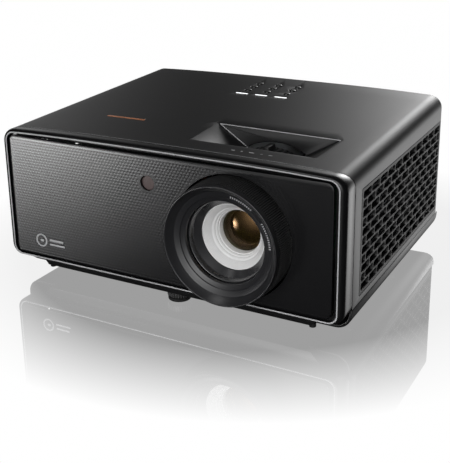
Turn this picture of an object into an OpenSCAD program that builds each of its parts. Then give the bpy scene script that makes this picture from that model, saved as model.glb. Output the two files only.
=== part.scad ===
// Home projector: moulded case, laser light engine, ring-focus zoom lens, fans, boards,
// keypad and levelling feet.
// Frame: +Z up, the lens looks along -Y, +X is on the right of a person facing the lens.
// Origin: on the table, under the middle of the bounding box. Millimetres.

/* [Case] */
// Width of the case
body_w = 337; // [332:1:342]
// Depth of the case without the lens
body_d = 272; // [270:1:276]
// Height of the top surface above the table at the front seam
top_front_z = 149.7; // [148:0.1:152]
// Rise of the top surface from the front seam to the back
rear_rise = 6.5; // [5:0.5:8]
// Ground clearance under the case
case_bottom_z = 12; // [12:0.5:13]
// Height of the lower edge of the front frame
bezel_bottom_z = 24; // [24:0.5:25]
// Height of the seam between the lower and the upper shell
seam_z = 30; // [30:0.5:31]
// Wall thickness of the mouldings
wall = 2.5; // [2:0.1:3]
// Radius of the top shoulders
shoulder_r = 13; // [10:1:15]
// Radius of the lower side edges
keel_r = 14; // [10:1:16]

/* [Lens] */
// Lens axis, measured to the right of the middle
lens_x = 71; // [70:1:72]
// Lens axis height above the table
lens_z = 83.3; // [82:0.1:84]
// How far the lens hood stands out in front of the case
hood_out = 24; // [23:1:26]
// Radius of the hood rim
hood_r = 51.2; // [50:0.1:51.5]
// Radius of the ribbed focus ring
focus_r = 52.6; // [52:0.1:53]
// Radius of the round opening in the front panel
aperture_r = 54.2; // [53.8:0.1:54.4]
// Radius of the zoom ring
zoom_r = 55.5; // [54:0.5:56]
// Radius of the drum clearance under the finger well
drum_gap_r = 58; // [57.5:0.5:59]

/* [Finger well] */
// Width of the well at the top surface
well_w = 116.5; // [112:0.5:118]
// Length of the well at the top surface
well_l = 52; // [50:1:54]
// Distance from the front of the case to the well
well_front = 36; // [35:1:38]
// Width at the bottom of the well
well_floor_w = 58; // [56:1:60]
// Height of the well bottom above the table
well_floor_z = 134; // [133:0.5:135]

/* [Side grilles] */
// Rows of slots
grille_rows = 11; // [9:2:11]
// Columns of slots
grille_cols = 11; // [9:1:11]
// Pitch of the rows
row_pitch = 8.01; // [7.8:0.01:8.1]
// Pitch of the columns
col_pitch = 20.3; // [20:0.1:20.4]
// Length of a slot
slot_l = 18.4; // [17:0.1:18.6]
// Height of a slot
slot_h = 6.4; // [5.5:0.1:6.6]
// Height of the middle of the top row
grille_top_z = 122.2; // [120:0.1:123]
// Middle of the first full slot, behind the front of the case
grille_first_y = 49; // [48:0.5:50]

/* [Keypad] */
// Middle of the keypad to the right of the middle of the case
keypad_x = 4.2; // [2:0.1:6]
// Distance from the front of the case to the first row of keys
keypad_y = 206; // [204:1:208]
// Spacing of the key columns
key_dx = 21.7; // [20:0.1:23]
// Spacing of the key rows
key_dy = 14; // [12:0.5:15]
// Radius of a key cap
key_r = 3.4; // [3:0.1:3.6]
// Travel of a key
key_travel = 0.7; // [0.5:0.1:0.8]

/* [Feet] */
// Radius of a levelling foot
foot_r = 11; // [10:0.5:12]
// Radius of the foot stud
stud_r = 4; // [3:0.5:4]
// Travel of a foot
foot_travel = 10; // [8:1:10]
// Distance of the front foot from the front of the case
front_foot_y = 31; // [28:1:36]
// Sideways distance of a rear foot from the middle
rear_foot_x = 135; // [120:1:138]

/* [Hidden] */

$fn = 64;
eps = 0.01;
fine = 96;                       // segments of large plain discs
rib_fn = 24;                     // segments of small round parts
gap = 0.3;                       // air between parts of different bodies
depth_all = body_d + hood_out;
front_y = -depth_all / 2 + hood_out;   // front plane of the case
rear_y = front_y + body_d;
hood_y = front_y - hood_out;           // front of the hood rim
side_x = body_w / 2;
slope = atan(rear_rise / (body_d - 30));
seam_top_y = front_y + 13.4;     // seam between frame and cover on top
seam_side_y = front_y + 20.3;    // seam between frame and cover on the sides
panel_front_y = front_y + 1.5;   // face of the textured front panel
panel_in_x = side_x - 9.5;       // half width of the front panel
panel_low_z = bezel_bottom_z + 4.5;
panel_top_z = top_front_z - 6.7;
grille_t = 2.4;                  // thickness of a side grille
grille_low_z = 36;
grille_high_z = 128.4;
grille_y0 = front_y + 36.4;
grille_y1 = rear_y - 7.6;
well_y0 = front_y + well_front;  // front edge of the well
well_y1 = well_y0 + well_l;
well_floor_y1 = well_y1 - 4;
rear_panel_y = rear_y - 6;       // outer face of the rear panel

// Height of the top surface at a place along Y, in the middle of the case
function top_z(y) = top_front_z + (y - seam_top_y) * tan(slope);
// Points along an arc
function arc(cx, cy, r, a0, a1, n) =
    [for (i = [0:n]) let (a = a0 + (a1 - a0) * i / n) [cx + r * cos(a), cy + r * sin(a)]];
// Rounded rectangle between two corners
function rounded(x0, y0, x1, y1, r, n = 6) = concat(
    arc(x1 - r, y1 - r, r, 0, 90, n), arc(x0 + r, y1 - r, r, 90, 180, n),
    arc(x0 + r, y0 + r, r, 180, 270, n), arc(x1 - r, y0 + r, r, 270, 360, n));
// Cross-section of the case in X and Z, drawn in by d
function section(d) = let (
        x = side_x - d, low = case_bottom_z + d, high = top_front_z - d, n = 8,
        rs = shoulder_r - d, rk = keel_r - d, fall = 2)
    concat(
        arc(x - rk, low + rk, rk, -90, 0, n), arc(x - rs, high - fall - rs, rs, 0, 84, n),
        [for (i = [-5:5]) let (u = -i / 6 * (x - rs)) [u, high - fall * pow(abs(u) / (x - rs), 3)]],
        arc(rs - x, high - fall - rs, rs, 96, 180, n), arc(rk - x, low + rk, rk, 180, 270, n));

// Draws a profile in X and Z out along Y from y0 to y1
module along_y(y0, y1) {
    translate([0, y1, 0]) rotate([90, 0, 0]) linear_extrude(y1 - y0) children();
}
// Draws a profile in Y and Z out along X from x0 to x1
module along_x(x0, x1) {
    translate([x0, 0, 0]) rotate([90, 0, 90]) linear_extrude(x1 - x0) children();
}
// Cylinder along Y on the lens axis
module lens_disc(y0, y1, r0, r1 = -1) {
    translate([lens_x, y0, lens_z]) rotate([-90, 0, 0])
        cylinder(h = y1 - y0, r1 = r0, r2 = r1 < 0 ? r0 : r1, $fn = fine);
}
// Body of revolution about the lens axis: points are [radius, y]
module lens_turned(points) {
    translate([lens_x, 0, lens_z]) rotate([-90, 0, 0]) rotate_extrude($fn = fine) polygon(points);
}
module box(x0, x1, y0, y1, z0, z1) {
    translate([x0, y0, z0]) cube([x1 - x0, y1 - y0, z1 - z0]);
}
module disc_z(x, y, z0, z1, r) {
    translate([x, y, z0]) cylinder(h = z1 - z0, r = r);
}

// ---- Case -------------------------------------------------------------------------

// Case body drawn in by d, with its sloping top and its round rear corners
module case_body(d, y0, y1) {
    r_top = 8;
    r_low = 20;
    side = concat(
        [[y0, case_bottom_z - 1]],
        arc(rear_y - d - r_low, case_bottom_z + d + r_low, r_low, -90, 0, 8),
        arc(rear_y - d - r_top, top_z(rear_y) - d - r_top, r_top, 0, 88, 6),
        [[y0, top_z(rear_y) + 1]]);
    intersection() {
        translate([0, seam_top_y, 0]) rotate([slope, 0, 0]) along_y(-60, body_d + 40)
            polygon(section(d));
        along_x(-side_x - 1, side_x + 1) polygon(side);
        box(-side_x - 1, side_x + 1, y0, y1, case_bottom_z, top_front_z + 30);
    }
}
tub_end_r = 20;                  // radius of the lower rear edge
// Cross-section of the lower shell up to a height
function tub_section(d, top) = let (x = side_x - d, low = case_bottom_z + d, rk = keel_r - d)
    concat(arc(x - rk, low + rk, rk, -90, 0, 8), [[x, top], [-x, top]],
        arc(rk - x, low + rk, rk, 180, 270, 8));
// Outline of the lower shell seen from the side
function tub_side(d, y0, top) = concat([[y0, case_bottom_z + d]],
    arc(rear_y - tub_end_r, case_bottom_z + tub_end_r, tub_end_r - d, -90, 0, 8),
    [[rear_y - d, top], [y0, top]]);
foot_spots = [[0, front_y + front_foot_y], [-rear_foot_x, rear_y - 36], [rear_foot_x, rear_y - 36]];
ceiling_dx = 210;                // spacing of the ceiling mount holes
ceiling_dy = 130;
ceiling_mid_y = 18;
ceiling_spots = [for (i = [-1, 1], j = [-1, 1]) [i * ceiling_dx / 2, ceiling_mid_y + j * ceiling_dy / 2]];
screw_spots = [[-150, -60], [150, -60], [-150, 60], [150, 60], [-40, 120], [40, 120]];
insert_r = 3.2;                  // outside of a brass ceiling insert
boss_h = 12;
foot_insert_r = 6.5;
foot_insert_top = 24;
bottom_vents = 12;
module bottom_case() color("#141416") difference() {
    union() {
        difference() {
            intersection() {
                along_y(seam_side_y + gap, rear_y + 1) polygon(tub_section(0, seam_z - 0.15));
                along_x(-side_x - 1, side_x + 1) polygon(tub_side(0, -200, seam_z + 5));
            }
            along_y(seam_side_y - 1, rear_y - tub_end_r) polygon(tub_section(wall, seam_z + 3));
            along_x(keel_r - side_x, side_x - keel_r) polygon(tub_side(wall, -199, seam_z + 4));
        }
        along_y(front_y + 14, seam_side_y + gap + wall)
            polygon([[-136, case_bottom_z], [136, case_bottom_z], [146, bezel_bottom_z - gap],
                [-146, bezel_bottom_z - gap]]);
        for (p = screw_spots) disc_z(p[0], p[1], case_bottom_z, case_bottom_z + 14, 4);
        for (p = foot_spots) disc_z(p[0], p[1], case_bottom_z, foot_insert_top, foot_insert_r + 3);
        for (p = ceiling_spots) disc_z(p[0], p[1], case_bottom_z, case_bottom_z + boss_h, 6.5);
    }
    for (p = foot_spots) disc_z(p[0], p[1], case_bottom_z - 1, foot_insert_top + 1, foot_insert_r);
    for (p = ceiling_spots) disc_z(p[0], p[1], case_bottom_z - 1, case_bottom_z + boss_h + 1, insert_r);
    for (p = screw_spots) {
        disc_z(p[0], p[1], case_bottom_z - 1, case_bottom_z + 1.3, 3.2);
        disc_z(p[0], p[1], case_bottom_z - 1, case_bottom_z + 15, 1.6);
    }
    for (i = [0:bottom_vents - 1])
        box(-78 + i * 6, -75 + i * 6, -40, 20, case_bottom_z - 1, case_bottom_z + 4);
    box(-130, 130, front_y + 14 + wall, seam_side_y + gap, case_bottom_z + wall, seam_z + 1);
}

// Solid of the finger well, grown by d
module well_form(d) {
    mid = lens_x + 1;
    high = top_z(well_y1) + 6;
    // the side walls lean at one angle right up to above the cover
    lean = (well_w - well_floor_w) / 2 / (top_z(well_y0) - well_floor_z);
    half_high = well_floor_w / 2 + lean * (high - well_floor_z);
    rear_lean = (well_y1 - well_floor_y1) / (top_z(well_y1) - well_floor_z);
    rear_high = well_floor_y1 + rear_lean * (high - well_floor_z);
    hull() {
        box(mid - half_high - d, mid + half_high + d, well_y0 - d, rear_high + d, high - eps, high);
        box(mid - well_floor_w / 2 - d, mid + well_floor_w / 2 + d, well_y0 - d, well_floor_y1 + d,
            well_floor_z - d, well_floor_z - d + eps);
    }
}
key_spots = [for (r = [0:2], c = [-1:1]) [keypad_x + c * key_dx, front_y + keypad_y + r * key_dy]];
bar_y = front_y + 191.4;
bar_l = 13.5;
bar_w = 2.2;
keypad_board_z = 146;            // top of the keypad board
module top_cover() color("#17171a") difference() {
    union() {
        difference() {
            case_body(0, seam_top_y + gap, rear_y);
            case_body(wall, seam_top_y - 1, rear_y - wall);
            box(-side_x - 1, side_x + 1, -200, seam_side_y + gap, 0, top_front_z - shoulder_r);
            box(-side_x - 1, side_x + 1, -200, 200, 0, seam_z + 0.15);
            box(-side_x + wall, side_x - wall, rear_y - 9, rear_y + 1, 0, top_z(rear_y) - 12);
            for (s = [-1, 1]) translate([s * side_x, 0, 0])
                box(-wall - 1, wall + 1, grille_y0 - gap, grille_y1 + gap,
                    grille_low_z - gap, grille_high_z + gap);
        }
        intersection() {
            well_form(2);
            case_body(wall / 2, well_y0 - 5, well_y1 + 8);
        }
        for (x = [keypad_x - 33, keypad_x + 33], y = [bar_y - 5, bar_y + 48])
            disc_z(x, y, keypad_board_z, top_z(y) - 1, 3);
    }
    well_form(0);
    lens_disc(well_y0 + eps, well_y1 + 3, drum_gap_r);
    for (k = key_spots) disc_z(k[0], k[1], top_front_z - 10, top_front_z + 20, key_r + 0.25);
    for (c = [-1:1]) translate([keypad_x + c * key_dx, bar_y, 0])
        box(-bar_l / 2, bar_l / 2, -bar_w / 2, bar_w / 2, top_front_z - 10, top_front_z + 20);
    badge_solid(0.8, 0.05);
}
badge_x = -77;                   // middle of the copper bar
badge_y = front_y + 70;
badge_l = 42;
badge_w = 3.2;
badge_t = 0.35;                  // depth of the bar in the cover
module badge_solid(depth, grow) {
    half = badge_l / 2 + grow;
    translate([badge_x, badge_y, top_z(badge_y)]) rotate([slope, 0, 0])
        translate([-half, -badge_w / 2 - grow, -depth - badge_t])
            cube([2 * half, badge_w + 2 * grow, depth + 1]);
}
module badge_inlay() color("#b06a35") intersection() {
    badge_solid(0.8, 0);
    case_body(0, -200, 200);
}

// Slotted side grille, lying in a window of the cover
module side_grille(s) {
    color("#121214") translate([s * (side_x - (s > 0 ? grille_t : 0)), 0, 0])
        along_x(0, grille_t) difference() {
            translate([grille_y0, grille_low_z])
                square([grille_y1 - grille_y0, grille_high_z - grille_low_z]);
            for (r = [0:grille_rows - 1]) {
                odd = r % 2;
                for (c = [0:grille_cols - 1 + odd]) {
                    y0 = front_y + grille_first_y + (c - odd / 2) * col_pitch;
                    left = max(y0 - slot_l / 2, front_y + grille_first_y - slot_l / 2);
                    last = front_y + grille_first_y + (grille_cols - 1) * col_pitch + slot_l / 2;
                    right = min(y0 + slot_l / 2, last);
                    z = grille_top_z - r * row_pitch;
                    polygon(rounded(left, z - slot_h / 2, right, z + slot_h / 2, 1.2, 1));
                }
            }
        }
}
module side_grille_right() side_grille(1);
module side_grille_left() side_grille(-1);

// Front frame with a rolled front edge
module bezel_outline(d, y0, y1) {
    along_y(y0, y1) polygon(rounded(-side_x + d, bezel_bottom_z + d * 0.2, side_x - d,
        top_front_z - d * 0.45, 11 - d / 3));
}
module front_bezel() color("#1a1a1d") difference() {
    union() {
        hull() {
            bezel_outline(4.6, front_y, front_y + 0.4, $fn = 32);
            bezel_outline(0, front_y + 5, front_y + 6);
        }
        bezel_outline(0, front_y + 5, seam_side_y);
    }
    along_y(front_y - 1, seam_side_y + 1)
        polygon(rounded(-panel_in_x, panel_low_z, panel_in_x, panel_top_z, 6));
    along_y(front_y + 6, seam_side_y + 1)
        polygon(rounded(-side_x + wall, bezel_bottom_z + wall, side_x - wall, top_front_z - wall, 8));
    box(-side_x - 1, side_x + 1, seam_top_y, 200, top_front_z - shoulder_r, 200);
}
ir_x = -9.3;
ir_z = 118.2;
ir_r = 6.6;
module front_panel() color("#26262a") difference() {
    along_y(panel_front_y, panel_front_y + 2.5)
        polygon(rounded(-panel_in_x + 0.1, panel_low_z + 0.1, panel_in_x - 0.1, panel_top_z - 0.1, 6));
    lens_disc(panel_front_y - 1, panel_front_y + 4, aperture_r);
    translate([ir_x, panel_front_y - 1, ir_z]) rotate([-90, 0, 0]) cylinder(h = 5, r = ir_r + 0.05);
}
module ir_window() color("#3a2c2a") {
    translate([ir_x, panel_front_y - 0.2, ir_z]) rotate([-90, 0, 0]) cylinder(h = 3.5, r = ir_r);
    translate([ir_x, panel_front_y + 2.6, ir_z]) rotate([-90, 0, 0]) cylinder(h = 1, r = ir_r + 2);
}

// Rear panel with its port windows and vents: [x, z, width, height]
port_z = 62;
inlet = [-118, 56, 28, 20.5];
ports = [[-72, port_z, 16, 6.5], [-48, port_z, 16, 6.5], [-24, port_z, 14.5, 7.2],
    [-2, port_z, 14.5, 7.2], [20, port_z, 17, 14.5]];
serial_port = [46, port_z, 19, 10.5];
jacks = [[68, port_z], [84, port_z]];
jack_r = 3.6;
lock_slot = [132, 52, 7.5, 3.4];
module port_hole(p, y0, y1, grow) {
    box(p[0] - p[2] / 2 - grow, p[0] + p[2] / 2 + grow, y0, y1,
        p[1] - p[3] / 2 - grow, p[1] + p[3] / 2 + grow);
}
plate_x0 = -88;
plate_x1 = 98;
plate_z0 = 48;
plate_z1 = 76;
module window(p, grow) {
    translate([p[0] - p[2] / 2 - grow, p[1] - p[3] / 2 - grow]) square([p[2] + 2 * grow, p[3] + 2 * grow]);
}
module rear_panel() color("#131315") {
    low = seam_z + 0.3;
    half = side_x - wall - gap;
    along_y(rear_panel_y - wall, rear_panel_y) difference() {
        polygon(rounded(-half, low, half, top_front_z - 1.7, 10));
        window(inlet, 0.1);
        window(lock_slot, 0);
        translate([plate_x0 + 4, plate_z0 + 3])
            square([plate_x1 - plate_x0 - 8, plate_z1 - plate_z0 - 6]);
        for (r = [0:4], c = [0:12])
            translate([-130 + c * 20 + (r % 2) * 6, 88 + r * 8]) square([12, 4.5]);
    }
    box(-150, 150, rear_panel_y - eps, rear_y - wall - 0.1, low, low + wall);
}
module corner_stops() color("#0c0c0c") for (s = [-1, 1]) {
    disc_z(s * 135, front_y + 20, case_bottom_z - 3.5, case_bottom_z, 3);
}
module ceiling_inserts() color("goldenrod") for (p = ceiling_spots) difference() {
    disc_z(p[0], p[1], case_bottom_z + 0.2, case_bottom_z + boss_h, insert_r);
    disc_z(p[0], p[1], case_bottom_z - 1, case_bottom_z + boss_h + 1, 2);
}
module foot_inserts() color("goldenrod") for (p = foot_spots) difference() {
    disc_z(p[0], p[1], case_bottom_z + 0.2, foot_insert_top, foot_insert_r);
    disc_z(p[0], p[1], case_bottom_z - 1, foot_insert_top + 1, stud_r + 0.06);
}
module case_screws() color("silver") for (p = screw_spots) {
    disc_z(p[0], p[1], case_bottom_z + 0.2, case_bottom_z + 1.3, 3);
    disc_z(p[0], p[1], case_bottom_z + 1.2, case_bottom_z + 13, 1.5);
}

// ---- Lens -------------------------------------------------------------------------

inner_ring_r = 36;               // clear opening at the back of the hood
ring_back_y = front_y + 9;       // back of the focus ring
barrel_y = hood_y + 14.4;        // front of the focus barrel
glass_r = 18.6;                  // clear radius in front of the front lens
tube_step_y = -95;               // shoulder inside the lens tube
tube_back_y = -30.4;
module hood_rim() color("#2b2b2e") lens_turned([[49.6, hood_y], [hood_r, hood_y + 0.8],
    [hood_r, hood_y + 5.5], [49.1, hood_y + 5.5], [49.1, hood_y + 13.5],
    [inner_ring_r, hood_y + 13.5], [42, hood_y + 9.4], [48.3, hood_y + 6.1]]);
module focus_ring() color("#101011") lens_turned([[49.2, hood_y + 5.6], [51.1, hood_y + 5.6],
    [52.2, hood_y + 9], [focus_r, hood_y + 22], [focus_r, ring_back_y], [47, ring_back_y],
    [47, hood_y + 13.6], [49.2, hood_y + 13.6]]);
module focus_barrel() color("#c8c8c8") lens_turned([[34.6, barrel_y], [35.5, barrel_y],
    [35.5, barrel_y + 1.6], [38.1, barrel_y + 1.6], [38.1, tube_step_y - 3], [glass_r, tube_step_y - 3],
    [glass_r, front_y + 18], [28.5, front_y + 1]]);
// Lens with a convex front and a flatter back, between y0 and y1
module lens_glass(r, y0, y1, front_sag, back_sag) {
    front_curve = (r * r + front_sag * front_sag) / (2 * front_sag);
    back_curve = (r * r + back_sag * back_sag) / (2 * back_sag);
    n = 8;
    front = [for (i = [0:n]) let (q = r * i / n)
        [q, y0 + front_curve - sqrt(front_curve * front_curve - q * q)]];
    back = [for (i = [n:-1:0]) let (q = r * i / n)
        [q, y1 - back_curve + sqrt(back_curve * back_curve - q * q)]];
    lens_turned(concat(front, back));
}
module front_lens() color("#402818") lens_glass(glass_r - 0.1, front_y + 15.5, tube_step_y - 4, 3.6, 1.2);
module lens_retainer() color("#101010") lens_turned([[15, tube_step_y - 4.4],
    [glass_r - 0.1, tube_step_y - 4.4], [glass_r - 0.1, tube_step_y - 2.6], [15, tube_step_y - 2.6]]);
zoom_y0 = well_y0 + 2;
zoom_y1 = well_floor_y1 - 2;
tab_half = 3.2;
tab_top_r = 60;
module zoom_ring() color("#161617") {
    web = (zoom_y0 + zoom_y1) / 2;
    lens_turned([[52, zoom_y0], [zoom_r, zoom_y0], [zoom_r, zoom_y1], [52, zoom_y1], [52, web + 3],
        [42.4, web + 3], [42.4, web - 3], [52, web - 3]]);
    box(lens_x - tab_half, lens_x + tab_half, zoom_y1 - 19, zoom_y1 - 4, lens_z + 53, lens_z + tab_top_r);
}
module zoom_barrel() color("#2a2a2a") lens_turned([[24.5, -88], [31, -88], [31, -58], [24.5, -58]]);
module zoom_lens() color("#8fa6b4") lens_glass(24.4, -78, -68, 3, 2);
module lens_tube() color("#1c1c1c") difference() {
    lens_turned([[38.4, front_y - 4], [46.7, front_y - 4], [46.7, ring_back_y + 2],
        [50, ring_back_y + 2], [50, ring_back_y + 5], [42, ring_back_y + 5], [42, tube_back_y - 4],
        [47, tube_back_y - 4], [47, tube_back_y], [31.3, tube_back_y], [31.3, tube_step_y],
        [38.4, tube_step_y]]);
    for (a = [45:90:315]) translate([lens_x + 44.6 * cos(a), tube_back_y - 6, lens_z + 44.6 * sin(a)])
        rotate([-90, 0, 0]) cylinder(h = 8, r = 1.5, $fn = rib_fn);
}
module rear_lens() color("#8fa6b4") lens_glass(31.2, -46, -36, 2.5, 2.5);

// ---- Light engine -----------------------------------------------------------------

engine_x0 = 22;
engine_x1 = 120;
engine_y0 = -30;
engine_y1 = 45;
engine_z0 = 32;
engine_z1 = 128;
wheel_x = 2;
wheel_y = 8;
wheel_z = 80;
wheel_r = 32;
module engine_housing() color("#8c8f92") difference() {
    union() {
        box(engine_x0, engine_x1, engine_y0, engine_y1, engine_z0, engine_z1);
        for (x = [engine_x0 + 8, engine_x1 - 8], y = [engine_y0 + 8, engine_y1 - 8])
            disc_z(x, y, case_bottom_z + wall, engine_z0, 6);
    }
    box(engine_x0 + 4, engine_x1 - 4, engine_y0 + 4, engine_y1 - 4, engine_z0 + 4, engine_z1 - 4);
    translate([lens_x, engine_y0 - 1, lens_z]) rotate([-90, 0, 0]) cylinder(h = 6, r = 30);
    box(40, 80, engine_y1 - 5, engine_y1 + 1, 60, 96);
}
module wheel_motor() color("silver") translate([0, wheel_y, wheel_z]) rotate([0, 90, 0]) {
    translate([0, 0, 10]) cylinder(h = engine_x0 - 10 - 0.05, r = 12);
    translate([0, 0, -3]) cylinder(h = 14, r = 2);
}
module phosphor_wheel() color("#d8c94a") translate([wheel_x, wheel_y, wheel_z]) rotate([0, 90, 0])
    difference() {
        union() {
            cylinder(h = 1.2, r = wheel_r);
            translate([0, 0, -2]) cylinder(h = 8, r = 9);
        }
        translate([0, 0, -5]) cylinder(h = 20, r = 2.05);
    }
laser_y = engine_y1 + 0.1;
pipe_y = laser_y + 20;
pipe_zs = [56, 78, 100];
pipe_r = 3;
module laser_bank() color("#b8a070") {
    box(34, 88, laser_y, laser_y + 14, 48, 108);
    box(28, 94, laser_y + 14, pipe_y - pipe_r - 0.05, 44, 112);
}
sink_x0 = -126;
sink_x1 = -62;
sink_y0 = -42;
sink_y1 = 58;
pipe_x = -94;
module laser_heatsink() color("#a9adb0") difference() {
    union() {
        for (y = [sink_y0:5:sink_y1]) box(sink_x0, sink_x1, y, y + 1, 38, 124);
        box(sink_x0, sink_x1, sink_y0, sink_y1 + 1, 34, 38);
    }
    for (z = pipe_zs) translate([pipe_x, sink_y0 - 5, z]) rotate([-90, 0, 0])
        cylinder(h = 120, r = pipe_r + 0.05, $fn = rib_fn);
}
module heat_pipes() color("#b87333") for (z = pipe_zs) {
    translate([pipe_x, sink_y0 - 3, z]) rotate([-90, 0, 0])
        cylinder(h = pipe_y - sink_y0 + 3, r = pipe_r, $fn = rib_fn);
    translate([pipe_x, pipe_y, z]) sphere(r = pipe_r, $fn = rib_fn);
    translate([pipe_x, pipe_y, z]) rotate([0, 90, 0])
        cylinder(h = 90 - pipe_x, r = pipe_r, $fn = rib_fn);
}
module dmd_board() color("#1d5a34") box(engine_x1 + 0.1, engine_x1 + 1.7, -22, 37, 44, 120);
module dmd_heatsink() color("#a9adb0") {
    box(engine_x1 + 1.8, engine_x1 + 6, -16, 31, 50, 114);
    for (z = [52:6.5:112]) box(engine_x1 + 6 - eps, 152, -16, 31, z, z + 1.4);
}

// ---- Fans -------------------------------------------------------------------------

fan_x0 = -163.5;
fan_t = 25;
fan_half = 40;
fan_z = 82;
fan_ys = [-42, 42];
fan_blades = 7;
module at_fan(i) {
    translate([fan_x0, fan_ys[i], fan_z]) rotate([0, 90, 0]) children();
}
module fan_frame(i) {
    color("#1b1b1b") at_fan(i) difference() {
        union() {
            difference() {
                translate([-fan_half, -fan_half, 0]) cube([2 * fan_half, 2 * fan_half, fan_t]);
                translate([0, 0, -1]) cylinder(h = fan_t + 2, r = fan_half - 2);
            }
            cylinder(h = 4, r = 15);
            for (a = [0:120:240]) rotate([0, 0, a]) translate([10, -1.5, 0]) cube([fan_half - 10.5, 3, 3]);
        }
        translate([0, 0, 1]) cylinder(h = 5, r = 1.55);
        for (x = [-36, 36], y = [-36, 36]) translate([x, y, -1]) cylinder(h = fan_t + 2, r = 2.2);
    }
}
module fan_rotor(i) {
    color("#222222") at_fan(i) {
        translate([0, 0, 1.4]) cylinder(h = 4, r = 1.5);
        translate([0, 0, 4.6]) cylinder(h = 18, r = 14);
        intersection() {
            translate([0, 0, 6]) cylinder(h = 15, r = fan_half - 3.2);
            for (k = [0:fan_blades - 1]) rotate([0, 0, k * 360 / fan_blades])
                translate([13, 0, 13.5]) rotate([38, 0, 0]) translate([0, -13, -0.9]) cube([26, 26, 1.8]);
        }
    }
}
module fan_frame_front() fan_frame(0);
module fan_rotor_front() fan_rotor(0);
module fan_frame_rear() fan_frame(1);
module fan_rotor_rear() fan_rotor(1);

// ---- Boards, ports and speaker ----------------------------------------------------

board_z = 52;
socket_y = rear_panel_y - 24;
board_t = 1.6;
main_x0 = -90;
main_x1 = 96;
main_y0 = 68;
module main_board() color("#1d5a34") {
    box(main_x0, main_x1, main_y0, rear_panel_y - 4.2, board_z, board_z + board_t);
    // cooler block and memory block
    box(main_x0 + 30, main_x0 + 60, main_y0 + 8, main_y0 + 38, board_z + board_t, board_z + 12);
    box(main_x0 + 100, main_x0 + 124, main_y0 + 10, main_y0 + 34, board_z + board_t, board_z + 5);
    for (x = [main_x0 + 8, main_x1 - 8]) disc_z(x, main_y0 + 6, case_bottom_z + wall, board_z, 3);
}
power_x0 = -132;                 // power board, clear of the front foot and the ceiling bosses
power_x1 = -16;
power_y0 = -98;
power_y1 = -56;
power_z = 22;
power_top = power_z + board_t;
module power_board() color("#3a5a2a") {
    box(power_x0, power_x1, power_y0, power_y1, power_z, power_top);
    // transformer, coil and two capacitors
    box(power_x0 + 10, power_x0 + 40, power_y0 + 6, power_y1 - 8, power_top, power_top + 30);
    box(power_x0 + 54, power_x0 + 76, power_y0 + 8, power_y1 - 6, power_top, power_top + 20);
    for (x = [power_x0 + 88, power_x1 - 10]) disc_z(x, power_y0 + 22, power_top, power_top + 28, 7);
    for (x = [power_x0 + 4, power_x1 - 4], y = [power_y0 + 4, power_y1 - 4])
        disc_z(x, y, case_bottom_z + wall, power_z, 2.5);
}
module speaker() color("#202020") difference() {
    box(106, 154, 78, 136, 32, 92);
    translate([153, 107, 62]) rotate([0, 90, 0]) cylinder(h = 5, r1 = 16, r2 = 22);
}
module port_plate() color("silver") difference() {
    box(plate_x0, plate_x1, rear_panel_y - 3.8, rear_panel_y - 2.7, plate_z0, plate_z1);
    for (p = ports) port_hole(p, rear_panel_y - 9, rear_panel_y, 0.15);
    port_hole(serial_port, rear_panel_y - 9, rear_panel_y, 0.15);
    for (j = jacks) translate([j[0], rear_panel_y - 9, j[1]]) rotate([-90, 0, 0])
        cylinder(h = 9, r = jack_r + 0.15, $fn = 32);
}
shell = 0.8;                     // wall of a port socket
module port_sockets() color("#9a9da0") {
    for (p = concat(ports, [serial_port])) {
        low = p[1] - p[3] / 2;
        difference() {
            port_hole(p, socket_y, rear_panel_y - 1.2, 0);
            port_hole(p, socket_y + 3, rear_panel_y, -shell);
        }
        box(p[0] - 4, p[0] + 4, socket_y, socket_y + 8, board_z + 1.7, low + eps);
    }
    for (j = jacks) {
        translate([j[0], socket_y, j[1]]) rotate([-90, 0, 0]) difference() {
            cylinder(h = rear_panel_y - 1.2 - socket_y, r = jack_r);
            translate([0, 0, 6]) cylinder(h = 40, r = 1.8);
        }
        box(j[0] - 2.4, j[0] + 2.4, socket_y, socket_y + 8, board_z + 1.7, j[1] - 2.4);
    }
}
module power_inlet() color("#0d0d0d") {
    difference() {
        port_hole(inlet, rear_panel_y - 22, rear_panel_y + 1.5, 0);
        port_hole(inlet, rear_panel_y - 17, rear_panel_y + 5, -2.2);
    }
    for (x = [-7, 0, 7]) box(inlet[0] + x - 1, inlet[0] + x + 1, rear_panel_y - 18,
        rear_panel_y - 4, inlet[1] - (x == 0 ? -1.5 : 2.5), inlet[1] + (x == 0 ? 5.5 : 1.5));
}

// ---- Keypad -----------------------------------------------------------------------

module keypad_board() color("#1d5a34")
    box(keypad_x - 36.5, keypad_x + 36.5, bar_y - 9, bar_y + 52, keypad_board_z - 1.6, keypad_board_z);
module light_guides() color("white") for (c = [-1:1]) translate([keypad_x + c * key_dx, bar_y, 0])
    box(-bar_l / 2 + 0.1, bar_l / 2 - 0.1, -bar_w / 2 + 0.1, bar_w / 2 - 0.1, keypad_board_z + 0.1,
        top_z(bar_y) + 0.15);
module key_cap(i) {
    k = key_spots[i];
    high = top_z(k[1]);
    flange = high - wall - 0.5;
    color("#0f0f10") {
        disc_z(k[0], k[1], flange - eps, high + 0.9, key_r);
        disc_z(k[0], k[1], flange - 1.4, flange, key_r + 1.2);
        disc_z(k[0], k[1], keypad_board_z + key_travel + 0.3, flange - 1.4 + eps, 1.8);
    }
}
module key_power() key_cap(0);
module key_menu() key_cap(1);
module key_source() key_cap(2);
module key_left() key_cap(3);
module key_enter() key_cap(4);
module key_right() key_cap(5);
module key_up() key_cap(6);
module key_down() key_cap(7);
module key_info() key_cap(8);

// ---- Levelling feet ---------------------------------------------------------------

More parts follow.
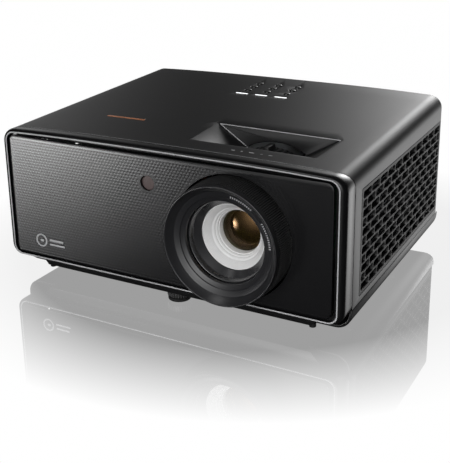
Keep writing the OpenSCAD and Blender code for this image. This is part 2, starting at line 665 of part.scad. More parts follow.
sole_h = 2.8;
wheel_top_z = 10.5;
pivot_r = 3;
thread_hold = 5;                 // stud left in its insert at full travel
stud_top_z = case_bottom_z + thread_hold + foot_travel;
module foot_screw(i) {
    p = foot_spots[i];
    color("#19191a") {
        disc_z(p[0], p[1], sole_h + gap, wheel_top_z, foot_r);
        disc_z(p[0], p[1], 1.3, sole_h + gap + eps, pivot_r);
    }
    color("silver") disc_z(p[0], p[1], wheel_top_z - eps, stud_top_z, stud_r);
}
module foot_sole(i) {
    p = foot_spots[i];
    color("#0a0a0a") difference() {
        disc_z(p[0], p[1], 0, sole_h, foot_r - 0.6);
        disc_z(p[0], p[1], 1, sole_h + 1, pivot_r + 0.06);
    }
}
module foot_screw_front() foot_screw(0);
module foot_sole_front() foot_sole(0);
module foot_screw_left() foot_screw(1);
module foot_sole_left() foot_sole(1);
module foot_screw_right() foot_screw(2);
module foot_sole_right() foot_sole(2);

bottom_case();
top_cover();
side_grille_right();
side_grille_left();
front_bezel();
front_panel();
ir_window();
rear_panel();
badge_inlay();
corner_stops();
ceiling_inserts();
case_screws();
foot_inserts();
hood_rim();
focus_ring();
focus_barrel();
front_lens();
lens_retainer();
zoom_ring();
zoom_barrel();
zoom_lens();
lens_tube();
rear_lens();
engine_housing();
wheel_motor();
phosphor_wheel();
laser_bank();
laser_heatsink();
heat_pipes();
dmd_board();
dmd_heatsink();
fan_frame_front();
fan_rotor_front();
fan_frame_rear();
fan_rotor_rear();
main_board();
power_board();
speaker();
port_plate();
port_sockets();
power_inlet();
keypad_board();
light_guides();
key_power();
key_menu();
key_source();
key_up();
key_left();
key_enter();
key_right();
key_down();
key_info();
foot_screw_front();
foot_sole_front();
foot_screw_left();
foot_sole_left();
foot_screw_right();
foot_sole_right();
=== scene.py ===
"""Finished surfaces of a home projector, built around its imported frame.

Lengths are worked in millimetres and turned into metres when a mesh is made. The lens looks
along -Y, +Z is up and the projector stands on the floor at z = 0.
"""

import logging
import math
from dataclasses import dataclass, field
from enum import Enum
from typing import Callable, Iterable, Sequence

import bmesh
import bpy
from mathutils import Matrix, Vector


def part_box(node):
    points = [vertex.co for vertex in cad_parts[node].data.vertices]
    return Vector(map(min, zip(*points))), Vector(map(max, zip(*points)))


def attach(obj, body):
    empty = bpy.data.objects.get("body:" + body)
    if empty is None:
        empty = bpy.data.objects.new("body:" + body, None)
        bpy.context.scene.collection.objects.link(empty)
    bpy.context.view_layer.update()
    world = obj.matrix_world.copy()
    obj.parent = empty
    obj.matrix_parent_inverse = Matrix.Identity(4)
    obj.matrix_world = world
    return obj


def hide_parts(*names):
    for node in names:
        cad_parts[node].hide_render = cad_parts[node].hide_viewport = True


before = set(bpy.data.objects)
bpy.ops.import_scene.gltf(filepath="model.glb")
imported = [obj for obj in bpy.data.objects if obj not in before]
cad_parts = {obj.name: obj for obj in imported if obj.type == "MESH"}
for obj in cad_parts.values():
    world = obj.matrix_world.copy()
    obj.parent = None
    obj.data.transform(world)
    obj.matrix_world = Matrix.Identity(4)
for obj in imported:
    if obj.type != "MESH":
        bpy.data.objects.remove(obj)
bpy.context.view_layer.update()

LOG = logging.getLogger("projector")
MM = 0.001
Point = tuple[float, float, float]
Flat = tuple[float, float]
Colour = tuple[float, float, float]


class Slot(Enum):
    """Material slots of the record, one for each finish."""

    CASE = "case_black"
    GRILLE = "grille_black"
    FRAME = "frame_black"
    PANEL = "panel_charcoal"
    REAR = "rear_black"
    IR = "ir_filter"
    BADGE = "badge_copper"
    RUBBER = "soft_rubber"
    BRASS = "brass_insert"
    SCREW = "screw_steel"
    HOOD = "hood_grey"
    RING = "ring_black"
    BARREL_BRIGHT = "barrel_silver"
    BARREL_DARK = "barrel_dark"
    LENS_COATED = "coated_glass"
    LENS_PLAIN = "plain_glass"
    CAST = "cast_metal"
    MOTOR = "motor_steel"
    PHOSPHOR = "phosphor_yellow"
    LASER = "laser_metal"
    FIN = "fin_metal"
    PIPE = "pipe_copper"
    BOARD = "board_green"
    FAN_FRAME = "fan_black"
    FAN_BLADE = "fan_blade"
    PORT = "port_metal"
    INLET = "inlet_black"
    KEY = "key_black"
    LIGHT = "light_white"
    FOOT = "foot_black"


class Axis(Enum):
    """Axes that a ring of repeated pieces turns about."""

    Y = (0.0, 1.0, 0.0)
    Z = (0.0, 0.0, 1.0)


# ---- Frame ------------------------------------------------------------------------


def node_box(node: str) -> tuple[Vector, Vector]:
    """Finds where a node of the frame is.

    Args:
        node: name of the node.

    Returns:
        Its lowest and highest corners in millimetres.
    """
    low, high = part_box(node)
    return low / MM, high / MM


# ---- Materials --------------------------------------------------------------------


class Graph:
    """A material's node graph with short helpers."""

    def __init__(self, name: str) -> None:
        """Starts a graph with one Principled shader.

        Args:
            name: name of the material.
        """
        self.material = bpy.data.materials.new(name)
        self.material.use_nodes = True
        self.tree = self.material.node_tree
        self.shader = self.tree.nodes["Principled BSDF"]
        self.place = self.add("ShaderNodeTexCoord").outputs["Object"]

    def add(self, kind: str, **settings: object) -> bpy.types.Node:
        """Adds a node.

        Args:
            kind: the node's type.
            settings: properties to set on it.

        Returns:
            The new node.
        """
        node = self.tree.nodes.new(kind)
        for key, value in settings.items():
            setattr(node, key, value)
        return node

    def feed(self, socket: bpy.types.NodeSocket, value: object) -> None:
        """Links a socket, or sets its constant.

        Args:
            socket: the input socket.
            value: an output socket or a constant.
        """
        if isinstance(value, bpy.types.NodeSocket):
            self.tree.links.new(value, socket)
        else:
            socket.default_value = value

    def set(self, **values: object) -> None:
        """Sets the shader's inputs by name, with underscores for spaces.

        Args:
            values: input names and their values or output sockets.
        """
        for key, value in values.items():
            self.feed(self.shader.inputs[key.replace("_", " ")], value)

    def math(self, kind: str, *values: object) -> bpy.types.NodeSocket:
        """Adds a Math node.

        Args:
            kind: the operation.
            values: its inputs.

        Returns:
            The result's socket.
        """
        node = self.add("ShaderNodeMath", operation=kind)
        for socket, value in zip(node.inputs, values):
            self.feed(socket, value)
        return node.outputs[0]

    def noise(self, scale: float, detail: float = 2.0, stretch: Point = (1, 1, 1)) -> bpy.types.NodeSocket:
        """Adds fractal noise on the object's own coordinates.

        Args:
            scale: waves per metre.
            detail: octaves.
            stretch: scale along each axis.

        Returns:
            The noise value's socket.
        """
        mapping = self.add("ShaderNodeMapping")
        self.feed(mapping.inputs["Vector"], self.place)
        mapping.inputs["Scale"].default_value = stretch
        node = self.add("ShaderNodeTexNoise")
        self.feed(node.inputs["Vector"], mapping.outputs[0])
        node.inputs["Scale"].default_value = scale
        node.inputs["Detail"].default_value = detail
        return node.outputs["Fac"]

    def span(self, value: bpy.types.NodeSocket, low: float, high: float,
             start: float = 0.0, end: float = 1.0) -> bpy.types.NodeSocket:
        """Maps a value to a new range.

        Args:
            value: the value's socket.
            low: result at start.
            high: result at end.
            start: value that gives low.
            end: value that gives high.

        Returns:
            The mapped value's socket.
        """
        node = self.add("ShaderNodeMapRange", clamp=True)
        for key, part in zip(("Value", "From Min", "From Max", "To Min", "To Max"),
                             (value, start, end, low, high)):
            self.feed(node.inputs[key], part)
        return node.outputs[0]

    def blend(self, factor: bpy.types.NodeSocket, first: object, second: object) -> bpy.types.NodeSocket:
        """Mixes two colours.

        Args:
            factor: the share of the second colour.
            first: a colour or a colour socket.
            second: a colour or a colour socket.

        Returns:
            The mixed colour's socket.
        """
        node = self.add("ShaderNodeMix", data_type="RGBA")
        self.feed(node.inputs["Factor"], factor)
        for key, colour in (("A", first), ("B", second)):
            socket = [s for s in node.inputs if s.name == key and s.type == "RGBA"][0]
            self.feed(socket, colour if isinstance(colour, bpy.types.NodeSocket) else (*colour, 1.0))
        return [s for s in node.outputs if s.type == "RGBA"][0]

    def bump(self, height: bpy.types.NodeSocket, depth: float, under: object = None) -> bpy.types.NodeSocket:
        """Adds relief.

        Args:
            height: the height's socket, from 0 to 1.
            depth: depth of the relief in millimetres.
            under: a normal that the relief lies on, if any.

        Returns:
            The normal's socket.
        """
        node = self.add("ShaderNodeBump")
        node.inputs["Distance"].default_value = depth * MM
        self.feed(node.inputs["Height"], height)
        if under is not None:
            self.feed(node.inputs["Normal"], under)
        return node.outputs[0]

    def radius(self, centre: Sequence[float], axis: Axis) -> bpy.types.NodeSocket:
        """Measures the distance from an axis.

        Args:
            centre: a point on the axis, in millimetres.
            axis: which way it runs.

        Returns:
            The distance's socket, in metres.
        """
        moved = self.add("ShaderNodeVectorMath", operation="SUBTRACT")
        self.feed(moved.inputs[0], self.place)
        moved.inputs[1].default_value = [c * MM for c in centre]
        across = self.add("ShaderNodeVectorMath", operation="MULTIPLY")
        self.feed(across.inputs[0], moved.outputs[0])
        across.inputs[1].default_value = [1.0 - a for a in axis.value]
        length = self.add("ShaderNodeVectorMath", operation="LENGTH")
        self.feed(length.inputs[0], across.outputs[0])
        return length.outputs["Value"]


@dataclass(frozen=True)
class Finish:
    """A surface finish; each kind dresses a material's graph in its own way."""

    colour: Colour
    roughness: float

    def material(self, name: str) -> bpy.types.Material:
        """Makes the material.

        Args:
            name: its name.

        Returns:
            The material.
        """
        graph = Graph(name)
        self.dress(graph)
        return graph.material

    def dress(self, graph: Graph) -> None:
        """Builds the nodes.

        Args:
            graph: the material's graph.
        """
        raise NotImplementedError


@dataclass(frozen=True)
class Moulded(Finish):
    """Moulded plastic: spark-eroded grain, slow tone changes and lighter worn edges."""

    grain: float = 1600.0
    depth: float = 0.02
    coat: float = 0.0
    wear: float = 0.05
    level: float = 0.5

    def dress(self, graph: Graph) -> None:
        """Builds grain, mottling and edge wear.

        Args:
            graph: the material's graph.
        """
        cloud = graph.noise(9.0, 3.0)
        fine = graph.noise(self.grain, 2.0)
        light = tuple(min(1.0, c * 1.25 + 0.002) for c in self.colour)
        tone = graph.blend(graph.span(cloud, 0.0, 1.0, 0.35, 0.65), self.colour, light)
        edge = graph.add("ShaderNodeNewGeometry").outputs["Pointiness"]
        worn = graph.span(edge, 0.0, self.wear, 0.54, 0.68)
        tone = graph.blend(worn, tone, (0.45, 0.45, 0.46))
        rough = graph.math("ADD", graph.span(cloud, self.roughness - 0.02, self.roughness + 0.02),
                           graph.span(fine, -0.02, 0.02))
        graph.set(Base_Color=tone, Roughness=rough, Normal=graph.bump(fine, self.depth),
                  Coat_Weight=self.coat, Coat_Roughness=0.12, Specular_IOR_Level=self.level)


@dataclass(frozen=True)
class Turned(Finish):
    """Metal or lacquer with the fine rings that a lathe leaves."""

    centre: Point = (0.0, 0.0, 0.0)
    axis: Axis = Axis.Y
    pitch: float = 0.5
    depth: float = 0.01
    metallic: float = 1.0
    coat: float = 0.0

    def dress(self, graph: Graph) -> None:
        """Builds rings about the axis.

        Args:
            graph: the material's graph.
        """
        reach = graph.radius(self.centre, self.axis)
        turns = graph.math("MULTIPLY", reach, 2 * math.pi / (self.pitch * MM))
        wave = graph.span(graph.math("SINE", turns), 0.0, 1.0, -1.0, 1.0)
        cloud = graph.noise(60.0, 3.0)
        shade = tuple(c * 0.86 for c in self.colour)
        tone = graph.blend(graph.math("MULTIPLY", wave, cloud), self.colour, shade)
        rough = graph.span(cloud, self.roughness - 0.03, self.roughness + 0.05)
        graph.set(Base_Color=tone, Roughness=rough, Metallic=self.metallic,
                  Normal=graph.bump(wave, self.depth), Coat_Weight=self.coat, Coat_Roughness=0.1)


@dataclass(frozen=True)
class Metal(Finish):
    """Drawn or cast metal with a grain that runs one way."""

    stretch: Point = (1.0, 1.0, 1.0)
    grain: float = 400.0
    depth: float = 0.02

    def dress(self, graph: Graph) -> None:
        """Builds drawn grain and stains.

        Args:
            graph: the material's graph.
        """
        drawn = graph.noise(self.grain, 4.0, self.stretch)
        stain = graph.noise(25.0, 3.0)
        dull = tuple(c * 0.7 for c in self.colour)
        tone = graph.blend(graph.span(stain, 0.0, 0.6, 0.4, 0.7), self.colour, dull)
        rough = graph.span(drawn, self.roughness - 0.06, self.roughness + 0.1)
        graph.set(Base_Color=tone, Roughness=rough, Metallic=1.0, Normal=graph.bump(drawn, self.depth))


@dataclass(frozen=True)
class LensGlass(Finish):
    """Coated optical glass: clear body with a thin interference film."""

    film: float = 480.0
    clear: float = 1.0
    glint: Colour = (1.0, 1.0, 1.0)

    def dress(self, graph: Graph) -> None:
        """Builds clear glass with a faint dust haze.

        Args:
            graph: the material's graph.
        """
        haze = graph.span(graph.noise(180.0, 4.0), self.roughness, self.roughness + 0.02, 0.5, 0.8)
        tint = graph.blend(graph.noise(30.0), self.colour, tuple(c * 0.92 for c in self.colour))
        graph.set(Base_Color=tint, Roughness=haze, Transmission_Weight=self.clear, IOR=1.6,
                  Specular_Tint=(*self.glint, 1.0), Thin_Film_Thickness=self.film, Thin_Film_IOR=1.9)


@dataclass(frozen=True)
class Board(Finish):
    """Circuit board lacquer over copper tracks."""

    def dress(self, graph: Graph) -> None:
        """Builds tracks and pads under the lacquer.

        Args:
            graph: the material's graph.
        """
        cells = graph.add("ShaderNodeTexVoronoi", feature="DISTANCE_TO_EDGE", distance="MANHATTAN")
        graph.feed(cells.inputs["Vector"], graph.place)
        cells.inputs["Scale"].default_value = 220.0
        track = graph.span(cells.outputs[0], 1.0, 0.0, 0.04, 0.09)
        light = tuple(min(1.0, c * 2.2) for c in self.colour)
        tone = graph.blend(track, self.colour, light)
        graph.set(Base_Color=tone, Roughness=graph.span(graph.noise(90.0), 0.3, 0.45),
                  Normal=graph.bump(track, 0.04), Coat_Weight=0.4, Coat_Roughness=0.2)


@dataclass(frozen=True)
class Diffuser(Finish):
    """Milky light guide that glows faintly."""

    glow: float = 0.6

    def dress(self, graph: Graph) -> None:
        """Builds a soft glow that falls off in clouds.

        Args:
            graph: the material's graph.
        """
        cloud = graph.noise(300.0, 2.0)
        tone = graph.blend(cloud, self.colour, tuple(c * 0.9 for c in self.colour))
        graph.set(Base_Color=tone, Roughness=graph.span(cloud, self.roughness, self.roughness + 0.1),
                  Emission_Color=tone, Emission_Strength=self.glow, Subsurface_Weight=0.1)


class Finishes:
    """Every finish of the projector, made once and shared."""

    def __init__(self, lens_axis: Point) -> None:
        """Sets the finishes out.

        Args:
            lens_axis: a point on the lens axis, in millimetres.
        """
        copper = (0.50, 0.19, 0.085)
        self._kinds: dict[Slot, Finish] = {
            Slot.CASE: Moulded((0.0040, 0.0040, 0.0044), 0.36, grain=1500, depth=0.012),
            # A touch darker than the case: painted shade for the grille's dark slotted zone.
            Slot.GRILLE: Moulded((0.0030, 0.0030, 0.0033), 0.46, grain=1500, depth=0.012, wear=0.1),
            Slot.FRAME: Moulded((0.0040, 0.0040, 0.0045), 0.24, grain=1200, depth=0.004, wear=0.05),
            Slot.PANEL: Moulded((0.0030, 0.0030, 0.0036), 0.24, grain=1800, depth=0.004, wear=0.0),
            Slot.REAR: Moulded((0.011, 0.011, 0.012), 0.48, grain=1300, depth=0.03),
            Slot.IR: Moulded((0.085, 0.062, 0.060), 0.5, grain=500, depth=0.003, wear=0.0),
            Slot.BADGE: Moulded(copper, 0.3, grain=900, depth=0.004, wear=0.0),
            Slot.RUBBER: Moulded((0.010, 0.010, 0.010), 0.72, grain=900, depth=0.05, level=0.3),
            Slot.BRASS: Metal((0.62, 0.44, 0.17), 0.3, stretch=(1, 1, 8)),
            Slot.SCREW: Metal((0.48, 0.48, 0.50), 0.3),
            Slot.HOOD: Turned((0.022, 0.022, 0.024), 0.30, lens_axis, pitch=0.5, depth=0.006, metallic=0.0),
            Slot.RING: Moulded((0.008, 0.008, 0.008), 0.38, grain=1500, depth=0.01, wear=0.15),
            Slot.BARREL_BRIGHT: Turned((0.93, 0.93, 0.93), 0.34, lens_axis, pitch=0.7, depth=0.02,
                                       metallic=0.0),
            Slot.BARREL_DARK: Turned((0.030, 0.030, 0.032), 0.22, lens_axis, pitch=0.4, depth=0.004,
                                     metallic=0.0, coat=0.5),
            Slot.LENS_COATED: LensGlass((0.22, 0.23, 0.12), 0.02, film=0.0, glint=(0.85, 0.50, 0.24)),
            Slot.LENS_PLAIN: LensGlass((0.70, 0.66, 0.30), 0.03, film=0.0, glint=(0.9, 0.9, 0.3)),
            Slot.CAST: Metal((0.42, 0.43, 0.44), 0.45, grain=250, depth=0.08),
            Slot.MOTOR: Metal((0.55, 0.55, 0.57), 0.25, stretch=(10, 1, 1)),
            Slot.PHOSPHOR: Turned((0.72, 0.62, 0.10), 0.5, lens_axis, pitch=2.0, metallic=0.0),
            Slot.LASER: Metal((0.58, 0.45, 0.28), 0.35),
            # The fins are made dark as painted shade, so the inside seen through the grille slots stays dark.
            Slot.FIN: Metal((0.055, 0.056, 0.060), 0.5, stretch=(1, 10, 1)),
            Slot.PIPE: Metal((0.72, 0.34, 0.18), 0.28, stretch=(1, 10, 1)),
            Slot.BOARD: Board((0.010, 0.075, 0.030), 0.35),
            Slot.FAN_FRAME: Moulded((0.010, 0.010, 0.010), 0.5, grain=900, depth=0.03),
            Slot.FAN_BLADE: Moulded((0.014, 0.014, 0.015), 0.42, grain=900, depth=0.02),
            Slot.PORT: Metal((0.46, 0.47, 0.48), 0.3, stretch=(1, 8, 1)),
            Slot.INLET: Moulded((0.006, 0.006, 0.006), 0.4, grain=1200, depth=0.02),
            Slot.KEY: Moulded((0.006, 0.006, 0.006), 0.16, grain=900, depth=0.003, coat=0.8, wear=0.2),
            Slot.LIGHT: Diffuser((0.92, 0.93, 0.95), 0.3, glow=1.5),
            Slot.FOOT: Moulded((0.008, 0.008, 0.008), 0.5, grain=1000, depth=0.03, wear=0.15),
        }
        self._made: dict[Slot, bpy.types.Material] = {}

    def get(self, slot: Slot) -> bpy.types.Material:
        """Gives a slot's material, making it the first time.

        Args:
            slot: the slot.

        Returns:
            Its material.
        """
        if slot not in self._made:
            self._made[slot] = self._kinds[slot].material(slot.value + "_finish")
        return self._made[slot]


# ---- Mesh making ------------------------------------------------------------------


def arc(cx: float, cy: float, r: float, start: float, end: float, steps: int) -> list[Flat]:
    """Points along an arc.

    Args:
        cx: centre, first coordinate.
        cy: centre, second coordinate.
        r: radius.
        start: first angle in degrees.
        end: last angle in degrees.
        steps: number of steps.

    Returns:
        steps + 1 points.
    """
    angles = [math.radians(start + (end - start) * i / steps) for i in range(steps + 1)]
    return [(cx + r * math.cos(a), cy + r * math.sin(a)) for a in angles]


def rounded(x0: float, y0: float, x1: float, y1: float, r: float, steps: int = 6) -> list[Flat]:
    """Rounded rectangle, anticlockwise from its top right corner.

    Args:
        x0: left side.
        y0: lower side.
        x1: right side.
        y1: upper side.
        r: corner radius.
        steps: steps along each corner.

    Returns:
        The outline's points.
    """
    return (arc(x1 - r, y1 - r, r, 0, 90, steps) + arc(x0 + r, y1 - r, r, 90, 180, steps)
            + arc(x0 + r, y0 + r, r, 180, 270, steps) + arc(x1 - r, y0 + r, r, 270, 360, steps))


def to_mesh(name: str, points: Iterable[Sequence[float]], faces: Iterable[Sequence[int]],
            merge: float = 0.001, recalc: bool = True) -> bpy.types.Object:
    """Makes an object from points in millimetres.

    Args:
        name: the object's name.
        points: its vertices.
        faces: its faces as vertex indices.
        merge: vertices closer than this many millimetres become one.
        recalc: whether to turn the faces outwards.

    Returns:
        The object, linked to the scene.
    """
    mesh = bpy.data.meshes.new(name)
    mesh.from_pydata([tuple(c * MM for c in p) for p in points], [], [tuple(f) for f in faces])
    made = bpy.data.objects.new(name, mesh)
    bpy.context.scene.collection.objects.link(made)
    clean(made, merge, recalc)
    return made


def clean(piece: bpy.types.Object, merge: float = 0.001, recalc: bool = True) -> None:
    """Merges doubles and turns the faces outwards.

    Args:
        piece: the object.
        merge: merging distance in millimetres.
        recalc: whether to recalculate the normals.
    """
    bm = bmesh.new()
    bm.from_mesh(piece.data)
    bmesh.ops.remove_doubles(bm, verts=bm.verts, dist=merge * MM)
    if recalc:
        bmesh.ops.recalc_face_normals(bm, faces=bm.faces)
    bm.to_mesh(piece.data)
    bm.free()
    piece.data.update()


def loft(name: str, rings: Sequence[Sequence[Point]], around: bool = True, along: bool = False,
         caps: bool = False) -> bpy.types.Object:
    """Joins rings of equal length into a skin.

    Args:
        name: the object's name.
        rings: rings of points in millimetres.
        around: whether each ring is closed.
        along: whether the last ring joins the first.
        caps: whether the open sides are closed by flat faces.

    Returns:
        The object.
    """
    count = len(rings[0])
    points = [p for ring in rings for p in ring]
    faces = []
    for i in range(len(rings) if along else len(rings) - 1):
        here, there = i * count, (i + 1) % len(rings) * count
        for j in range(count if around else count - 1):
            k = (j + 1) % count
            faces.append((here + j, here + k, there + k, there + j))
    if caps and around:
        faces += [list(range(count))[::-1], [(len(rings) - 1) * count + j for j in range(count)]]
    if caps and not around:
        faces.append([i * count for i in range(len(rings))])
        faces.append([i * count + count - 1 for i in reversed(range(len(rings)))])
    return to_mesh(name, points, faces)


def turned(name: str, profile: Sequence[Flat], centre: Point, axis: Axis = Axis.Y,
           segments: int = 128) -> bpy.types.Object:
    """Turns a closed profile about an axis.

    Args:
        name: the object's name.
        profile: points of radius and place along the axis, in millimetres.
        centre: a point on the axis, whose part along the axis is added.
        axis: the axis.
        segments: steps round.

    Returns:
        The object.
    """
    rings = []
    for i in range(segments):
        a = 2 * math.pi * i / segments
        c, s = math.cos(a), math.sin(a)
        if axis is Axis.Y:
            rings.append([(centre[0] + r * c, centre[1] + t, centre[2] + r * s) for r, t in profile])
        else:
            rings.append([(centre[0] + r * c, centre[1] + r * s, centre[2] + t) for r, t in profile])
    return loft(name, rings, around=True, along=True)


def prism(name: str, outline: Sequence[Flat], axis: str, low: float, high: float) -> bpy.types.Object:
    """Extrudes an outline along an axis.

    Args:
        name: the object's name.
        outline: points in the two other axes, in order.
        axis: "x", "y" or "z".
        low: start along the axis.
        high: end along the axis.

    Returns:
        The object.
    """
    place = {"x": lambda p, t: (t, p[0], p[1]), "y": lambda p, t: (p[0], t, p[1]),
             "z": lambda p, t: (p[0], p[1], t)}[axis]
    return loft(name, [[place(p, t) for p in outline] for t in (low, high)], caps=True)


def joined(name: str, pieces: Sequence[bpy.types.Object], merge: float = 0.001,
           recalc: bool = False) -> bpy.types.Object:
    """Joins meshes into one and deletes them.

    Args:
        name: name of the result.
        pieces: the objects.
        merge: merging distance in millimetres.
        recalc: whether to recalculate the normals.

    Returns:
        The joined object.
    """
    bm = bmesh.new()
    for piece in pieces:
        bm.from_mesh(piece.data)
        discard(piece)
    mesh = bpy.data.meshes.new(name)
    bm.to_mesh(mesh)
    bm.free()
    made = bpy.data.objects.new(name, mesh)
    bpy.context.scene.collection.objects.link(made)
    clean(made, merge, recalc)
    return made


def discard(piece: bpy.types.Object) -> None:
    """Deletes a helper object.

    Args:
        piece: the object.
    """
    bpy.data.objects.remove(piece, do_unlink=True)


def settled(piece: bpy.types.Object) -> bpy.types.Object:
    """Turns a piece with live modifiers into a plain mesh.

    Args:
        piece: the object.

    Returns:
        The same object, with its modifiers worked into its mesh.
    """
    graph = bpy.context.evaluated_depsgraph_get()
    mesh = bpy.data.meshes.new_from_object(piece.evaluated_get(graph), depsgraph=graph)
    piece.modifiers.clear()
    piece.data = mesh
    return piece


def combine(piece: bpy.types.Object, tool: bpy.types.Object, operation: str = "DIFFERENCE") -> None:
    """Cuts a tool from a piece, or adds it.

    Args:
        piece: the object that stays.
        tool: the object that is used up.
        operation: DIFFERENCE, UNION or INTERSECT.
    """
    step = piece.modifiers.new("form", "BOOLEAN")
    step.operation = operation
    step.solver = "EXACT"
    step.object = tool
    settled(piece)
    discard(tool)


def soften(piece: bpy.types.Object, width: float, steps: int = 2, angle: float = 32.0,
           rule: Callable[[Vector], float] | None = None) -> None:
    """Rounds the sharp edges of a piece.

    Args:
        piece: the object.
        width: largest width of the rounding in millimetres.
        steps: steps across the rounding.
        angle: edges sharper than this are rounded.
        rule: gives an edge's share of the width from its middle point in millimetres.
    """
    bm = bmesh.new()
    bm.from_mesh(piece.data)
    bmesh.ops.remove_doubles(bm, verts=bm.verts, dist=0.01 * MM)
    bmesh.ops.dissolve_degenerate(bm, edges=bm.edges, dist=0.01 * MM)
    layer = bm.edges.layers.float.get("bevel_weight_edge") or bm.edges.layers.float.new("bevel_weight_edge")
    limit = math.radians(angle)
    for edge in bm.edges:
        if len(edge.link_faces) == 2 and edge.calc_face_angle(0.0) > limit:
            middle = (edge.verts[0].co + edge.verts[1].co) / 2 / MM
            edge[layer] = 1.0 if rule is None else rule(middle)
    bm.to_mesh(piece.data)
    bm.free()
    step = piece.modifiers.new("edge", "BEVEL")
    step.limit_method = "WEIGHT"
    step.width = width * MM
    step.segments = steps
    step.use_clamp_overlap = False
    settled(piece)


def smooth(piece: bpy.types.Object, angle: float = 38.0) -> None:
    """Shades a piece smooth up to an angle.

    Args:
        piece: the object.
        angle: edges sharper than this stay crisp.
    """
    mesh = piece.data
    mesh.polygons.foreach_set("use_smooth", [True] * len(mesh.polygons))
    mesh.set_sharp_from_angle(angle=math.radians(angle))


def fill_between(piece: bpy.types.Object, plane: int, level: float, toward: Point) -> None:
    """Fills the flat region between the open loops that lie in a plane.

    Args:
        piece: the object.
        plane: index of the coordinate that is constant.
        level: its value in millimetres.
        toward: the way that the new faces look.
    """
    bm = bmesh.new()
    bm.from_mesh(piece.data)
    bmesh.ops.remove_doubles(bm, verts=bm.verts, dist=0.003 * MM)
    flat = [e for e in bm.edges if len(e.link_faces) <= 1
            and all(abs(v.co[plane] / MM - level) < 0.002 for v in e.verts)]
    made = bmesh.ops.triangle_fill(bm, use_beauty=True, use_dissolve=False, edges=flat, normal=Vector(toward))
    for face in made["geom"]:
        if isinstance(face, bmesh.types.BMFace) and face.normal.dot(Vector(toward)) < 0:
            face.normal_flip()
    bm.to_mesh(piece.data)
    bm.free()


def softened_copy(node: str, name: str, width: float, steps: int = 2) -> bpy.types.Object:
    """Copies a node of the frame as a merged mesh with rounded edges.

    Args:
        node: the node.
        name: name of the copy.
        width: width of the rounding in millimetres.
        steps: steps across the rounding.

    Returns:
        The copy.
    """
    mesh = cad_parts[node].data.copy()
    mesh.materials.clear()
    made = bpy.data.objects.new(name, mesh)
    bpy.context.scene.collection.objects.link(made)
    bm = bmesh.new()
    bm.from_mesh(mesh)
    bmesh.ops.remove_doubles(bm, verts=bm.verts, dist=0.002 * MM)
    bmesh.ops.dissolve_limit(bm, angle_limit=math.radians(1.0), verts=bm.verts, edges=bm.edges)
    bm.to_mesh(mesh)
    bm.free()
    soften(made, width, steps)
    return made


# ---- Repeating patterns -----------------------------------------------------------


